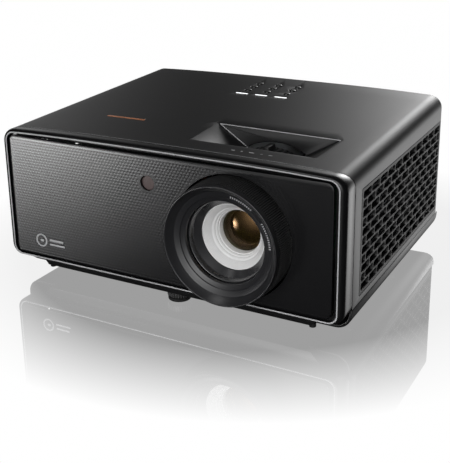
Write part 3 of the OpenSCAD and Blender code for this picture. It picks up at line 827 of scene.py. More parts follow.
class Pattern:
    """A Geometry Nodes tree with named inputs that repeats an item."""

    def __init__(self, name: str) -> None:
        """Starts a tree.

        Args:
            name: the tree's name.
        """
        self.tree = bpy.data.node_groups.new(name, "GeometryNodeTree")
        self.tree.interface.new_socket("Geometry", in_out="OUTPUT", socket_type="NodeSocketGeometry")
        self.sockets: dict[str, str] = {}
        self._inputs = self.tree.nodes.new("NodeGroupInput")
        self.item = self.node("GeometryNodeObjectInfo", transform_space="ORIGINAL")
        self.join(self.input("Item", "NodeSocketObject"), self.item.inputs["Object"])
        self.finish = self.input("Finish", "NodeSocketMaterial")

    def input(self, label: str, kind: str) -> bpy.types.NodeSocket:
        """Adds a named input.

        Args:
            label: its name.
            kind: its socket type.

        Returns:
            The socket that gives its value.
        """
        made = self.tree.interface.new_socket(label, in_out="INPUT", socket_type=kind)
        self.sockets[label] = made.identifier
        return self._inputs.outputs[label]

    def node(self, kind: str, **settings: object) -> bpy.types.Node:
        """Adds a node.

        Args:
            kind: its type.
            settings: its properties.

        Returns:
            The node.
        """
        made = self.tree.nodes.new(kind)
        for key, value in settings.items():
            setattr(made, key, value)
        return made

    def join(self, source: bpy.types.NodeSocket, target: bpy.types.NodeSocket) -> None:
        """Links two sockets.

        Args:
            source: the output.
            target: the input.
        """
        self.tree.links.new(source, target)

    def math(self, kind: str, *values: object) -> bpy.types.NodeSocket:
        """Adds a Math node.

        Args:
            kind: the operation.
            values: numbers or sockets.

        Returns:
            The result's socket.
        """
        made = self.node("ShaderNodeMath", operation=kind)
        for socket, value in zip(made.inputs, values):
            if isinstance(value, bpy.types.NodeSocket):
                self.join(value, socket)
            else:
                socket.default_value = value
        return made.outputs[0]

    def scaled(self, vector: bpy.types.NodeSocket, factor: bpy.types.NodeSocket) -> bpy.types.NodeSocket:
        """Scales a vector.

        Args:
            vector: the vector's socket.
            factor: the factor's socket.

        Returns:
            The result's socket.
        """
        made = self.node("ShaderNodeVectorMath", operation="SCALE")
        self.join(vector, made.inputs[0])
        self.join(factor, made.inputs["Scale"])
        return made.outputs[0]

    def plus(self, *vectors: bpy.types.NodeSocket) -> bpy.types.NodeSocket:
        """Adds vectors.

        Args:
            vectors: their sockets.

        Returns:
            The sum's socket.
        """
        total = vectors[0]
        for vector in vectors[1:]:
            made = self.node("ShaderNodeVectorMath", operation="ADD")
            self.join(total, made.inputs[0])
            self.join(vector, made.inputs[1])
            total = made.outputs[0]
        return total

    def close(self, points: bpy.types.NodeSocket, rotation: bpy.types.NodeSocket | None = None) -> None:
        """Puts the item on points, makes it real and ends the tree.

        Args:
            points: the points' geometry.
            rotation: each item's rotation, if it turns.
        """
        spread = self.node("GeometryNodeInstanceOnPoints")
        self.join(points, spread.inputs["Points"])
        self.join(self.item.outputs["Geometry"], spread.inputs["Instance"])
        if rotation is not None:
            self.join(rotation, spread.inputs["Rotation"])
        real = self.node("GeometryNodeRealizeInstances")
        self.join(spread.outputs[0], real.inputs[0])
        paint = self.node("GeometryNodeSetMaterial")
        self.join(real.outputs[0], paint.inputs["Geometry"])
        self.join(self.finish, paint.inputs["Material"])
        self.join(paint.outputs[0], self.node("NodeGroupOutput").inputs[0])

    def run(self, name: str, item: bpy.types.Object, finish: bpy.types.Material,
            **values: object) -> bpy.types.Object:
        """Runs the tree once and keeps its result as a plain mesh.

        Args:
            name: name of the result.
            item: the item, used up.
            finish: the item's material.
            values: the other inputs, with underscores for spaces.

        Returns:
            The object.
        """
        made = bpy.data.objects.new(name, bpy.data.meshes.new(name))
        bpy.context.scene.collection.objects.link(made)
        step = made.modifiers.new("pattern", "NODES")
        step.node_group = self.tree
        step[self.sockets["Item"]] = item
        step[self.sockets["Finish"]] = finish
        for key, value in values.items():
            step[self.sockets[key.replace("_", " ")]] = value
        bpy.context.view_layer.update()
        settled(made)
        discard(item)
        return made


def ring_pattern() -> Pattern:
    """Builds a tree that repeats an item round an axis.

    Returns:
        The pattern, with inputs Count, Centre, Axis, First and Step.
    """
    made = Pattern("ring_of_items")
    count = made.input("Count", "NodeSocketInt")
    centre = made.input("Centre", "NodeSocketVector")
    axis = made.input("Axis", "NodeSocketVector")
    first = made.input("First", "NodeSocketFloat")
    step = made.input("Step", "NodeSocketFloat")
    line = made.node("GeometryNodeMeshLine")
    made.join(count, line.inputs["Count"])
    line.inputs["Offset"].default_value = (0.0, 0.0, 0.0)
    index = made.node("GeometryNodeInputIndex").outputs[0]
    angle = made.math("ADD", first, made.math("MULTIPLY", index, step))
    moved = made.node("GeometryNodeSetPosition")
    made.join(line.outputs[0], moved.inputs["Geometry"])
    made.join(centre, moved.inputs["Position"])
    made.close(moved.outputs[0], made.scaled(axis, angle))
    return made


def grid_pattern() -> Pattern:
    """Builds a tree that repeats an item in rows, with every second row shifted.

    Returns:
        The pattern, with inputs Columns, Rows, Origin, Along, Up, Shift and two round holes
        (Hole and Reach, Second Hole and Second Reach) that are kept free.
    """
    made = Pattern("rows_of_items")
    columns = made.input("Columns", "NodeSocketInt")
    rows = made.input("Rows", "NodeSocketInt")
    origin = made.input("Origin", "NodeSocketVector")
    along = made.input("Along", "NodeSocketVector")
    up = made.input("Up", "NodeSocketVector")
    shift = made.input("Shift", "NodeSocketFloat")
    holes = [(made.input(key + "Hole", "NodeSocketVector"), made.input(key + "Reach", "NodeSocketFloat"))
             for key in ("", "Second ")]
    line = made.node("GeometryNodeMeshLine")
    made.join(made.math("MULTIPLY", columns, rows), line.inputs["Count"])
    index = made.node("GeometryNodeInputIndex").outputs[0]
    row = made.math("FLOOR", made.math("DIVIDE", made.math("ADD", index, 0.5), columns))
    column = made.math("SUBTRACT", index, made.math("MULTIPLY", row, columns))
    odd = made.math("MULTIPLY", made.math("MODULO", row, 2.0), shift)
    place = made.plus(origin, made.scaled(along, made.math("ADD", column, odd)), made.scaled(up, row))
    moved = made.node("GeometryNodeSetPosition")
    made.join(line.outputs[0], moved.inputs["Geometry"])
    made.join(place, moved.inputs["Position"])
    points = moved.outputs[0]
    for centre, reach in holes:
        gap = made.node("ShaderNodeVectorMath", operation="DISTANCE")
        made.join(made.node("GeometryNodeInputPosition").outputs[0], gap.inputs[0])
        made.join(centre, gap.inputs[1])
        cleared = made.node("GeometryNodeDeleteGeometry", domain="POINT")
        made.join(points, cleared.inputs["Geometry"])
        made.join(made.math("LESS_THAN", gap.outputs["Value"], reach), cleared.inputs["Selection"])
        points = cleared.outputs[0]
    made.close(points)
    return made


def metres(*values: float) -> list[float]:
    """Turns millimetres into metres.

    Args:
        values: the lengths in millimetres.

    Returns:
        The lengths in metres.
    """
    return [v * MM for v in values]


# ---- Workshop ---------------------------------------------------------------------


def print_and_highlight_paint() -> bpy.types.Material:
    """Makes the pale finish of the printed marks, which also serves as the painted highlight on the lip and
    the fine beads.

    Returns:
        The material.
    """
    return Moulded((0.42, 0.42, 0.43), 0.5, grain=700, depth=0.0, wear=0.0).material("print_and_highlight_paint")


@dataclass
class Workshop:
    """What every sub-assembly needs: finishes, patterns and the list of finished pieces."""

    finishes: Finishes
    # Pale paint: real print on the marks, painted highlight lines on the lip chamfer and the beads.
    print_and_highlight: bpy.types.Material = field(default_factory=print_and_highlight_paint)
    ring: Pattern = field(default_factory=ring_pattern)
    grid: Pattern = field(default_factory=grid_pattern)
    pieces: list[str] = field(default_factory=list)

    def place(self, piece: bpy.types.Object, body: str, slot: Slot, *nodes: str, angle: float = 38.0,
              finish: bpy.types.Material | None = None) -> bpy.types.Object:
        """Finishes a piece and fixes it to a body of the frame.

        Args:
            piece: the object.
            body: the body that it moves with.
            slot: its finish.
            nodes: the nodes of the frame that it stands for.
            angle: edges sharper than this stay crisp.
            finish: a material of its own, if it has one.

        Returns:
            The piece.
        """
        piece.data.materials.clear()
        piece.data.materials.append(finish or self.finishes.get(slot))
        smooth(piece, angle)
        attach(piece, body)
        if nodes:
            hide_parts(*nodes)
        self.pieces.append(piece.name)
        LOG.info("%s: %d faces on %s", piece.name, len(piece.data.polygons), body)
        return piece

    def dress(self, node: str, slot: Slot) -> None:
        """Gives a node of the frame its finish.

        Args:
            node: the node.
            slot: the finish.
        """
        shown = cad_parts[node]
        if not shown.material_slots:
            shown.data.materials.append(None)
        for held in shown.material_slots:
            held.material = self.finishes.get(slot)
        LOG.info("%s dressed as %s", node, slot.value)


# ---- Case -------------------------------------------------------------------------


KEY_NODES = ("key_power", "key_menu", "key_source", "key_left", "key_enter", "key_right",
             "key_up", "key_down", "key_info")


def lens_centre() -> Point:
    """Gives the lens axis, at the front of the hood.

    Returns:
        x, y and z in millimetres.
    """
    low, high = node_box("hood_rim")
    return (low.x + high.x) / 2, low.y, (low.z + high.z) / 2


def light_bars() -> list[tuple[Vector, Vector]]:
    """Splits the light guides' box into its three bars.

    Returns:
        The lowest and highest corners of each bar.
    """
    low, high = node_box("light_guides")
    length = 13.3
    pitch = (high.x - low.x - length) / 2
    return [(Vector((low.x + i * pitch, low.y, low.z)), Vector((low.x + i * pitch + length, high.y, high.z)))
            for i in range(3)]


@dataclass
class CaseForm:
    """Outer form of the case, shared by the cover, the frame and the lower shell."""

    half_width: float
    front: float
    rear: float
    top: float
    shoulder: float = 13.0
    fall: float = 2.0
    top_seam: float = 13.4
    side_seam: float = 20.3
    rise: float = 6.5
    rise_run: float = 242.0
    corner_steps: int = 12
    top_steps: int = 14

    def lift(self, y: float) -> float:
        """How much higher the top is than at the front seam.

        Args:
            y: place along Y.

        Returns:
            The difference in height.
        """
        return (y - self.front - self.top_seam) * self.rise / self.rise_run

    def top_at(self, x: float, y: float) -> float:
        """Height of the top surface.

        Args:
            x: place along X.
            y: place along Y.

        Returns:
            The height.
        """
        reach = self.half_width - self.shoulder
        return self.top + self.lift(y) - self.fall * min(1.0, abs(x) / reach) ** 3

    def arch(self, dx: float, dz: float) -> list[tuple[float, float, float]]:
        """Right side, top and left side of the cross-section, drawn in.

        Args:
            dx: how far the sides are drawn in.
            dz: how far the top is drawn in.

        Returns:
            Points of x, z and a seam weight that is 0 on the sides and 1 on top.
        """
        half, high = self.half_width - dx, self.top - dz
        r = max(1.5, self.shoulder - (dx + dz) / 2)
        end = 90.0 - math.degrees(math.atan(3 * self.fall / (half - r)))
        turn = arc(half - r, high - self.fall - r, r, 0, end, self.corner_steps)
        corner = [(x, z, (i / self.corner_steps) ** 2 * (3 - 2 * i / self.corner_steps))
                  for i, (x, z) in enumerate(turn)]
        reach, shoulder = turn[-1]
        shares = [i / self.top_steps for i in range(self.top_steps - 1, -self.top_steps, -1)]
        level = [(reach * share, high - (high - shoulder) * abs(share) ** 3, 1.0) for share in shares]
        return corner + level + [(-x, z, w) for x, z, w in reversed(corner)]

    def seam(self, weight: float) -> float:
        """Place of the seam between frame and cover.

        Args:
            weight: 0 on the sides of the case and 1 on its top.

        Returns:
            The place along Y.
        """
        return self.front + self.side_seam + (self.top_seam - self.side_seam) * weight


@dataclass
class CoverShell:
    """Top cover with the finger well, key holes, light bars and grille windows."""

    form: CaseForm
    shop: Workshop
    lens: Point = field(default_factory=lens_centre)
    wall: float = 2.5
    gap: float = 0.3
    rear_round: float = 8.0
    rear_side_round: float = 4.0
    skirt: float = 12.0
    seam_z: float = 30.15
    well_width: float = 116.5
    well_length: float = 52.0
    well_front: float = 36.0
    well_floor_width: float = 58.0
    well_floor: float = 134.0
    well_shift: float = 1.0
    rear_lean: float = 4.0
    drum_gap: float = 58.0
    stations: int = 14
    bead: float = 0.42
    key_hole: float = 3.65
    bore: float = 20.0

    def ring(self, shift: float, dx: float, dz: float, share: float) -> list[Point]:
        """One open ring of the cover.

        Args:
            shift: distance behind the seam at share 0, or behind the rear face at share 1.
            dx: how far the sides are drawn in.
            dz: how far the top is drawn in.
            share: place between the seam, 0, and the rear face, 1.

        Returns:
            The ring's points from the right lower edge to the left lower edge.
        """
        points = []
        for x, z, weight in self.form.arch(dx, dz):
            start = self.form.seam(weight) + self.gap
            y = start + (self.form.rear - start) * share + shift
            points.append((x, y, z + self.form.lift(y)))
        first, last = points[0], points[-1]
        return [(first[0], first[1], self.seam_z), *points, (last[0], last[1], self.seam_z)]

    def shell(self) -> bpy.types.Object:
        """Makes the plain shell, open below and behind.

        Returns:
            The shell.
        """
        soft = 0.4
        run = [i / self.stations for i in range(1, self.stations)]
        fine = soft * 0.3
        outer = [self.ring(0, soft, soft, 0), self.ring(fine, fine, fine, 0), self.ring(soft, 0, 0, 0)]
        outer += [self.ring(0, 0, 0, s) for s in run[:-1]]
        for i in range(9):
            t = math.radians(90 * i / 8)
            drawn = 1 - math.cos(t)
            outer.append(self.ring(self.rear_round * (math.sin(t) - 1), self.rear_side_round * drawn,
                                   self.rear_round * drawn, 1))
        side = self.rear_side_round + 0.3
        inner = [self.ring(0, side, self.skirt, 1), self.ring(-self.wall, side, self.skirt, 1),
                 self.ring(-self.wall - 0.5, self.wall, self.wall, 1)]
        inner += [self.ring(0, self.wall, self.wall, s) for s in reversed(run[:-1])]
        inner += [self.ring(0, self.wall, self.wall, 0)]
        return loft("cover_shell", outer + inner, around=False, along=True, caps=True)

    def well(self, name: str, grow: float, closed_top: bool) -> bpy.types.Object:
        """Makes the solid form of the finger well.

        Args:
            name: the object's name.
            grow: how far it is grown on every side.
            closed_top: whether it stops inside the cover's wall instead of passing through.

        Returns:
            The form.
        """
        middle = self.lens[0] + self.well_shift
        y0 = self.form.front + self.well_front
        y1 = y0 + self.well_length
        rear_low = y1 - self.rear_lean
        depth = self.form.top_at(middle, y0) - self.well_floor
        lean = (self.well_width - self.well_floor_width) / 2 / depth
        back_lean = self.rear_lean / (self.form.top_at(middle, y1) - self.well_floor)
        low_z = self.well_floor - grow

        def level(z: float) -> tuple[float, float]:
            """Finds how wide and how long the well is at a height.

            Args:
                z: the height.

            Returns:
                Half its width and the place of its rear end.
            """
            up = z - self.well_floor
            return self.well_floor_width / 2 + lean * up + grow, rear_low + back_lean * up + grow

        base_half, base_rear = level(self.well_floor)
        low = [(middle - base_half, y0 - grow, low_z), (middle + base_half, y0 - grow, low_z),
               (middle + base_half, base_rear, low_z), (middle - base_half, base_rear, low_z)]
        high_z = self.form.top_at(middle, y1) + 4
        half, rear = level(high_z)
        high = []
        for sx, y in ((-1, y0 - grow), (1, y0 - grow), (1, rear), (-1, rear)):
            if closed_top:
                reach = middle + sx * level(self.form.top_at(middle, y))[0]
                end = level(self.form.top_at(middle, y1))[1] if y > y0 else y
                high.append((reach, end, self.form.top_at(reach, y) - self.wall / 2))
            else:
                high.append((middle + sx * half, y, high_z))
        return loft(name, [low, high], caps=True)

    def build(self) -> None:
        """Builds the cover and fixes it to the case."""
        cover = self.shell()
        combine(cover, self.well("well_walls", 2.0, True), "UNION")
        low, high = node_box("side_grille_right")
        outline = rounded(low.y - self.gap, low.z - self.gap, high.y + self.gap, high.z + self.gap, 1.0, 3)
        window = prism("window", outline, "x", -high.x - self.bore, high.x + self.bore)
        tools = [self.well("well_space", 0.0, False), window]
        for key in KEY_NODES:
            low, high = node_box(key)
            centre = (low + high) / 2
            tools.append(prism("key_hole", arc(centre.x, centre.y, self.key_hole, 0, 348.75, 31), "z",
                               self.form.top - 8, self.form.top + self.bore))
        for low, high in light_bars():
            outline = rounded(low.x - 0.1, low.y - 0.1, high.x + 0.1, high.y + 0.1, 1.0, 4)
            tools.append(prism("bar_hole", outline, "z", self.form.top - 8, self.form.top + self.bore))
        combine(cover, joined("cover_tools", tools))
        front = self.form.front + self.well_front
        drum = prism("drum", arc(self.lens[0], self.lens[2], self.drum_gap, 0, 357.5, 143), "y",
                     front + 0.01, front + self.well_length + 3)
        combine(cover, drum)
        soften(cover, 1.1, 3, 30.0, self.edge_share)
        self.shop.place(cover, "chassis", Slot.CASE, "top_cover")
        self.well_edges()

    def well_edges(self) -> None:
        """Makes the fine pale beads along the rear rim and the two rear corners of the finger well, a painted
        highlight on these creases.
        """
        middle = self.lens[0] + self.well_shift
        rear = self.form.front + self.well_front + self.well_length
        floor = [Vector((middle + side * self.well_floor_width / 2, rear - self.rear_lean, self.well_floor))
                 for side in (-1, 1)]
        rim = [Vector((x, rear - 0.25, self.form.top_at(x, rear) - 0.35))
               for x in (middle - self.well_width / 2, middle + self.well_width / 2)]
        corners = [floor[0], rim[0], rim[1], floor[1]]
        beads = []
        for start, end in zip(corners, corners[1:]):
            along = (end - start).normalized()
            side = along.cross(Vector((0, 0, 1))).normalized()
            lift = side.cross(along)
            ring = [side * x + lift * z for x, z in arc(0, 0, self.bead, 0, 324, 9)]
            beads.append(loft("bead", [[tuple(point + offset) for offset in ring] for point in (start, end)],
                              caps=True))
        # The beads' pale colour is a painted highlight line along the well's creases.
        self.shop.place(joined("well_edge_beads", beads), "chassis", Slot.CASE, finish=self.shop.print_and_highlight)

    def edge_share(self, middle: Vector) -> float:
        """Share of the rounding for an edge: wide on the well's creases, fine elsewhere.

        Args:
            middle: middle of the edge in millimetres.

        Returns:
            The share.
        """
        across = abs(middle.x - self.lens[0] - self.well_shift)
        along = middle.y - self.form.front - self.well_front
        near = across < self.well_width / 2 + 5 and -1 < along < self.well_length + 1
        return 0.9 if near and middle.z > self.well_floor - 4 else 0.3


@dataclass
class FrontFrame:
    """Front frame with a rolled edge, a thin lip and a dark groove round the panel."""

    form: CaseForm
    shop: Workshop
    low: float
    corner: float = 11.0
    roll_x: float = 4.6
    roll_top: float = 2.07
    roll_low: float = 0.9
    roll_depth: float = 5.0
    lip: float = 1.1
    groove_depth: float = 4.6
    panel_x: float = 9.5
    panel_top: float = 6.7
    panel_low: float = 4.5
    wall: float = 2.5
    bead_start: int = 15

    def ring(self, depth: float | None, dx: float, top: float, low: float, back: float = 0.0) -> list[Point]:
        """One closed ring of the frame.

        Args:
            depth: distance behind the front plane, or None to follow the seam.
            dx: how far the sides are drawn in.
            top: how far the top is drawn in.
            low: how far the lower edge is drawn in.
            back: shift along Y from the seam.

        Returns:
            The ring's points.
        """
        r = max(2.0, self.corner - dx * 0.55)
        half, floor = self.form.half_width - dx, self.low + low
        arch = self.form.arch(dx, top)
        right = arc(half - r, floor + r, r, -90, 0, 8)
        points = [(x, z, 0.0) for x, z in right] + arch + [(-x, z, 0.0) for x, z in reversed(right)]
        if depth is not None:
            return [(x, self.form.front + depth, z) for x, z, _ in points]
        return [(x, self.form.seam(w) + back, z + self.form.lift(self.form.seam(w) + back) * w)
                for x, z, w in points]

    def build(self) -> None:
        """Builds the frame and fixes it to the case."""
        rings = [self.ring(None, 0.35, 0.35, 0.35), self.ring(None, 0.1, 0.1, 0.1, -0.1),
                 self.ring(None, 0, 0, 0, -0.35), self.ring(self.roll_depth + 1.0, 0, 0, 0)]
        for i in range(1, 9):
            t = math.radians(90 * i / 8)
            k = 1 - math.cos(t)
            rings.append(self.ring(self.roll_depth + 1.0 - (self.roll_depth + 0.6) * math.sin(t),
                                   self.roll_x * k, self.roll_top * k, self.roll_low * k))
        inner = self.lip + 0.25
        lip_edge = (self.roll_x + inner, self.roll_top + inner, self.roll_low + inner)
        panel_edge = (self.panel_x, self.panel_top, self.panel_low)
        seat = self.groove_depth + 1.4
        rings += [self.ring(0.55, *lip_edge), self.ring(self.groove_depth, *lip_edge),
                  self.ring(self.groove_depth, *panel_edge), self.ring(seat, *panel_edge),
                  self.ring(seat, self.wall, self.wall, self.wall)]
        rings.append(self.ring(None, self.wall, self.wall, self.wall))
        made = loft("front_frame_shell", rings, around=True, along=True)
        self.shop.place(made, "chassis", Slot.FRAME, "front_bezel", angle=24)
        self.chamfer()
        self.seam_bead()

    def seam_bead(self) -> None:
        """Makes the fine bead that closes the seam behind the frame on top; its pale colour is a painted
        highlight line.
        """
        section = ((0.0, -0.5), (0.0, 0.2), (0.6, 0.2), (0.6, -0.5))
        rings = [self.ring(None, drawn, drawn, 0.0, back)[self.bead_start:-self.bead_start]
                 for drawn, back in section]
        made = loft("frame_seam_bead", rings, around=False, along=True, caps=True)
        # Pale bead: painted highlight along the seam.
        self.shop.place(made, "chassis", Slot.FRAME, angle=50, finish=self.shop.print_and_highlight)

    def chamfer(self) -> None:
        """Makes the fine chamfer along the front edge, pale as a painted highlight line."""
        lip = self.lip
        section = ((0.45, -0.02), (0.05, 0.2), (0.0, 0.45), (0.0, lip - 0.3), (0.1, lip - 0.05),
                   (0.4, lip + 0.1), (0.8, lip), (0.8, 0.1))
        rings = [self.ring(depth, self.roll_x + out, self.roll_top + out, self.roll_low + out)
                 for depth, out in section]
        made = loft("front_frame_chamfer", rings, around=True, along=True)
        # Pale chamfer: painted highlight along the frame's front edge.
        self.shop.place(made, "chassis", Slot.FRAME, angle=50, finish=self.shop.print_and_highlight)


@dataclass
class DimpledPanel:
    """Front panel with rows of shallow dimples and a round opening for the lens."""

    form: CaseForm
    shop: Workshop
    column: float = 3.2
    row: float = 2.667
    dimple_x: float = 1.15
    dimple_z: float = 0.92
    dimple_depth: float = 0.14
    thickness: float = 2.5
    corner: float = 6.0
    edge: float = 0.45
    opening: float = 54.2
    ir_radius: float = 6.65
    stand_out: float = 0.6
    margin: float = 1.2
    clear: float = 2.6
    mark_at: Flat = (-129.5, 44.0)
    print_proud: float = 0.04

    def cell(self, y: float) -> bpy.types.Object:
        """Makes one cell of the pattern: a flat rim round a dimple.

        Args:
            y: place of the panel's face.

        Returns:
            The cell, about the origin in X and Z.
        """
        a, b = self.column / 2, self.row / 2
        rim = [(-a, -b), (0, -b), (a, -b), (a, b), (0, b), (-a, b)]
        angles = [math.atan2(z / b, x / a) for x, z in rim]
        hollow = [(self.dimple_x * math.cos(t), self.dimple_z * math.sin(t)) for t in angles]
        points = [(x, y, z) for x, z in rim + hollow] + [(0, y + self.dimple_depth, 0)]
        faces = [(i, (i + 1) % 6, 6 + (i + 1) % 6, 6 + i) for i in range(6)]
        faces += [(6 + i, 6 + (i + 1) % 6, 12) for i in range(6)]
        return to_mesh("dimple_cell", points, faces, recalc=False)

    def build(self) -> None:
        """Builds the panel and fixes it to the case."""
        low, high = node_box("front_panel")
        lens, face = lens_centre(), self.form.front - self.stand_out
        ir_low, ir_high = node_box("ir_window")
        ir = ((ir_low.x + ir_high.x) / 2, face, (ir_low.z + ir_high.z) / 2)
        columns = int((high.x - low.x - 2 * self.margin) / self.column)
        rows = int((high.z - low.z - 2 * self.margin - 2.0) / self.row)
        left = -(columns - 1) * self.column / 2
        first = low.z + self.margin + self.row / 2 + 0.4
        sheet = self.shop.grid.run(
            "front_panel_sheet", self.cell(face), self.shop.finishes.get(Slot.PANEL),
            Columns=columns, Rows=rows, Origin=metres(left, 0, first), Along=metres(self.column, 0, 0),
            Up=metres(0, 0, self.row), Shift=0.5, Hole=metres(lens[0], 0, lens[2]),
            Reach=(self.opening + self.clear) * MM, Second_Hole=metres(ir[0], 0, ir[2]),
            Second_Reach=(self.ir_radius + self.clear) * MM)
        clean(sheet, 0.01, False)
        edge, thick = self.edge, self.thickness
        rings = []
        for draw, back in ((edge, 0.0), (edge * 0.3, edge * 0.3), (0.0, edge), (0.0, thick)):
            outline = rounded(low.x + draw, low.z + draw, high.x - draw, high.z - draw, self.corner)
            rings.append([(x, face + back, z) for x, z in outline])
        walls = [loft("edge", rings)]
        for centre, r, steps in ((lens, self.opening, 143), (ir, self.ir_radius, 47)):
            end = 360 * steps / (steps + 1)
            rings = [[(x, face + back, z) for x, z in arc(centre[0], centre[2], r + draw, 0, end, steps)]
                     for draw, back in ((0.3, 0.0), (0.0, 0.3), (0.0, thick))]
            walls.append(loft("hole", rings))
        sheet = joined("front_panel_sheet", [sheet, *walls], 0.002)
        fill_between(sheet, 1, face, (0, -1, 0))
        fill_between(sheet, 1, face + self.thickness, (0, 1, 0))
        clean(sheet, 0.002, True)
        self.shop.place(sheet, "chassis", Slot.PANEL, "front_panel")
        self.mark(face)

    def mark(self, face: float) -> None:
        """Prints a plain ring and two short bars in the lower left corner.

        Args:
            face: place of the panel's face.
        """
        x, z = self.mark_at
        proud, sunk = -self.print_proud, self.print_proud / 2
        section = [(5.0, proud), (6.4, proud), (6.4, sunk), (5.0, sunk)]
        parts = [turned("ring", section, (x, face, z), segments=48)]
        outlines = [rounded(x - 1.2, z - 1.2, x + 2.6, z + 1.2, 1.1, 4)]
        outlines += [rounded(x + 9.5, z + low, x + 9.5 + length, z + low + 1.7, 0.5, 3)
                     for length, low in ((15.5, 0.8), (17.0, -3.4))]
        parts += [prism("stroke", outline, "y", face + proud, face + sunk) for outline in outlines]
        self.shop.place(joined("panel_mark", parts), "chassis", Slot.LIGHT, finish=self.shop.print_and_highlight)


@dataclass
class SlottedGrille:
    """Side grille with rows of rounded slots, every second row shifted by half a slot."""

    shop: Workshop
    node: str
    right: bool
    columns: int = 11
    rows: int = 11
    column: float = 20.3
    row: float = 8.01
    slot_length: float = 18.4
    slot_height: float = 6.4
    corner: float = 2.1
    first: float = 49.0
    top_row: float = 122.2
    edge: float = 0.35

    def cell(self, name: str, left: float, right: float, slot_left: float, slot_right: float,
             outside: float, inside: float) -> bpy.types.Object:
        """Makes one cell: a rectangle with a rounded slot through it.

        Args:
            name: the object's name.
            left: start of the cell along Y.
            right: end of the cell along Y.
            slot_left: start of the slot.
            slot_right: end of the slot.
            outside: place of the outer face along X.
            inside: place of the inner face along X.

        Returns:
            The cell, about the origin in Y and Z.
        """
        b, h = self.row / 2, self.slot_height / 2
        middle = (left + right) / 2
        full = right - left > self.column * 0.75
        top = [(middle, b)] if full else []
        base = [(middle, -b)] if full else []
        rim = [(right, b), *top, (left, b), (left, -b), *base, (right, -b)]
        r = min(self.corner, (slot_right - slot_left) / 2.2)
        lift = self.edge if outside > inside else -self.edge
        rings = []
        for x, grow, more in ((outside, self.edge, self.edge), (outside - lift * 0.3, self.edge * 0.3, 0.1),
                              (outside - lift, 0.0, 0.0), (inside, 0.0, 0.0)):
            outline = rounded(slot_left - grow, -h - grow, slot_right + grow, h + grow, r + more, 4)
            rings.append([(x, y, z) for y, z in outline])
        count = len(rings[0])
        points = [p for ring in rings for p in ring]
        faces = [(i + j, i + (j + 1) % count, i + count + (j + 1) % count, i + count + j)
                 for i in range(0, count * (len(rings) - 1), count) for j in range(count)]
        points += [(outside, y, z) for y, z in rim] + [(inside, y, z) for y, z in rim]
        made = to_mesh(name, points, faces, recalc=False)
        bm = bmesh.new()
        bm.from_mesh(made.data)
        bm.verts.ensure_lookup_table()
        loose = [v for v in bm.verts if not v.link_faces]
        for level in (outside, inside):
            ring = [next(v for v in loose if abs(v.co.x / MM - level) < 1e-3 and abs(v.co.y / MM - y) < 1e-3
                         and abs(v.co.z / MM - z) < 1e-3) for y, z in rim]
            edges = [bm.edges.new((ring[i], ring[(i + 1) % len(ring)])) for i in range(len(ring))]
            edges += [e for e in bm.edges if len(e.link_faces) == 1
                      and all(abs(v.co.x / MM - level) < 1e-3 for v in e.verts)]
            way = Vector((1.0 if level == outside else -1.0, 0, 0)) * (1.0 if outside > inside else -1.0)
            fill = bmesh.ops.triangle_fill(bm, use_beauty=True, use_dissolve=False, edges=edges, normal=way)
            for face in fill["geom"]:
                if isinstance(face, bmesh.types.BMFace) and face.normal.dot(way) < 0:
                    face.normal_flip()
        bm.to_mesh(made.data)
        bm.free()
        return made

    def build(self) -> None:
        """Builds the grille and fixes it to the case."""
        low, high = node_box(self.node)
        outside, inside = (high.x, low.x) if self.right else (low.x, high.x)
        front = node_box("front_bezel")[0].y
        start = front + self.first
        half = self.column / 2
        paint = self.shop.finishes.get(Slot.GRILLE)
        slot = self.slot_length / 2
        odd_rows = self.rows // 2
        jobs = [  # cell edges, slot edges, columns, rows, first middle along Y, first row
            ((-half, half), (-slot, slot), self.columns, self.rows - odd_rows, start, 0),
            ((-half, half), (-slot, slot), self.columns - 1, odd_rows, start + half, 1),
            ((-half, 0.0), (-slot, slot - half), 1, odd_rows, start, 1),
            ((0.0, half), (half - slot, slot), 1, odd_rows, start + (self.columns - 1) * self.column, 1)]
        parts = []
        for (left, right), (slot_left, slot_right), columns, rows, middle, row in jobs:
            cell = self.cell("slot_cell", left, right, slot_left, slot_right, outside, inside)
            parts.append(self.shop.grid.run(
                "slot_rows", cell, paint, Columns=columns, Rows=rows,
                Origin=metres(0, middle, self.top_row - row * self.row), Along=metres(0, self.column, 0),
                Up=metres(0, 0, -2 * self.row), Shift=0.0, Reach=0.0, Second_Reach=0.0))
        rings = []
        for x, draw in ((outside, 0.3), (outside + (inside - outside) * 0.12, 0.0), (inside, 0.0)):
            outline = rounded(low.y + draw, low.z + draw, high.y - draw, high.z - draw, 1.0, 3)
            rings.append([(x, y, z) for y, z in outline])
        rim = loft("rim", rings)
        name = "grille_right_slats" if self.right else "grille_left_slats"
        made = joined(name, [*parts, rim], 0.01)
        way = 1.0 if self.right else -1.0
        fill_between(made, 0, outside, (way, 0, 0))
        fill_between(made, 0, inside, (-way, 0, 0))
        clean(made, 0.002, True)
        self.shop.place(made, "chassis", Slot.GRILLE, self.node)


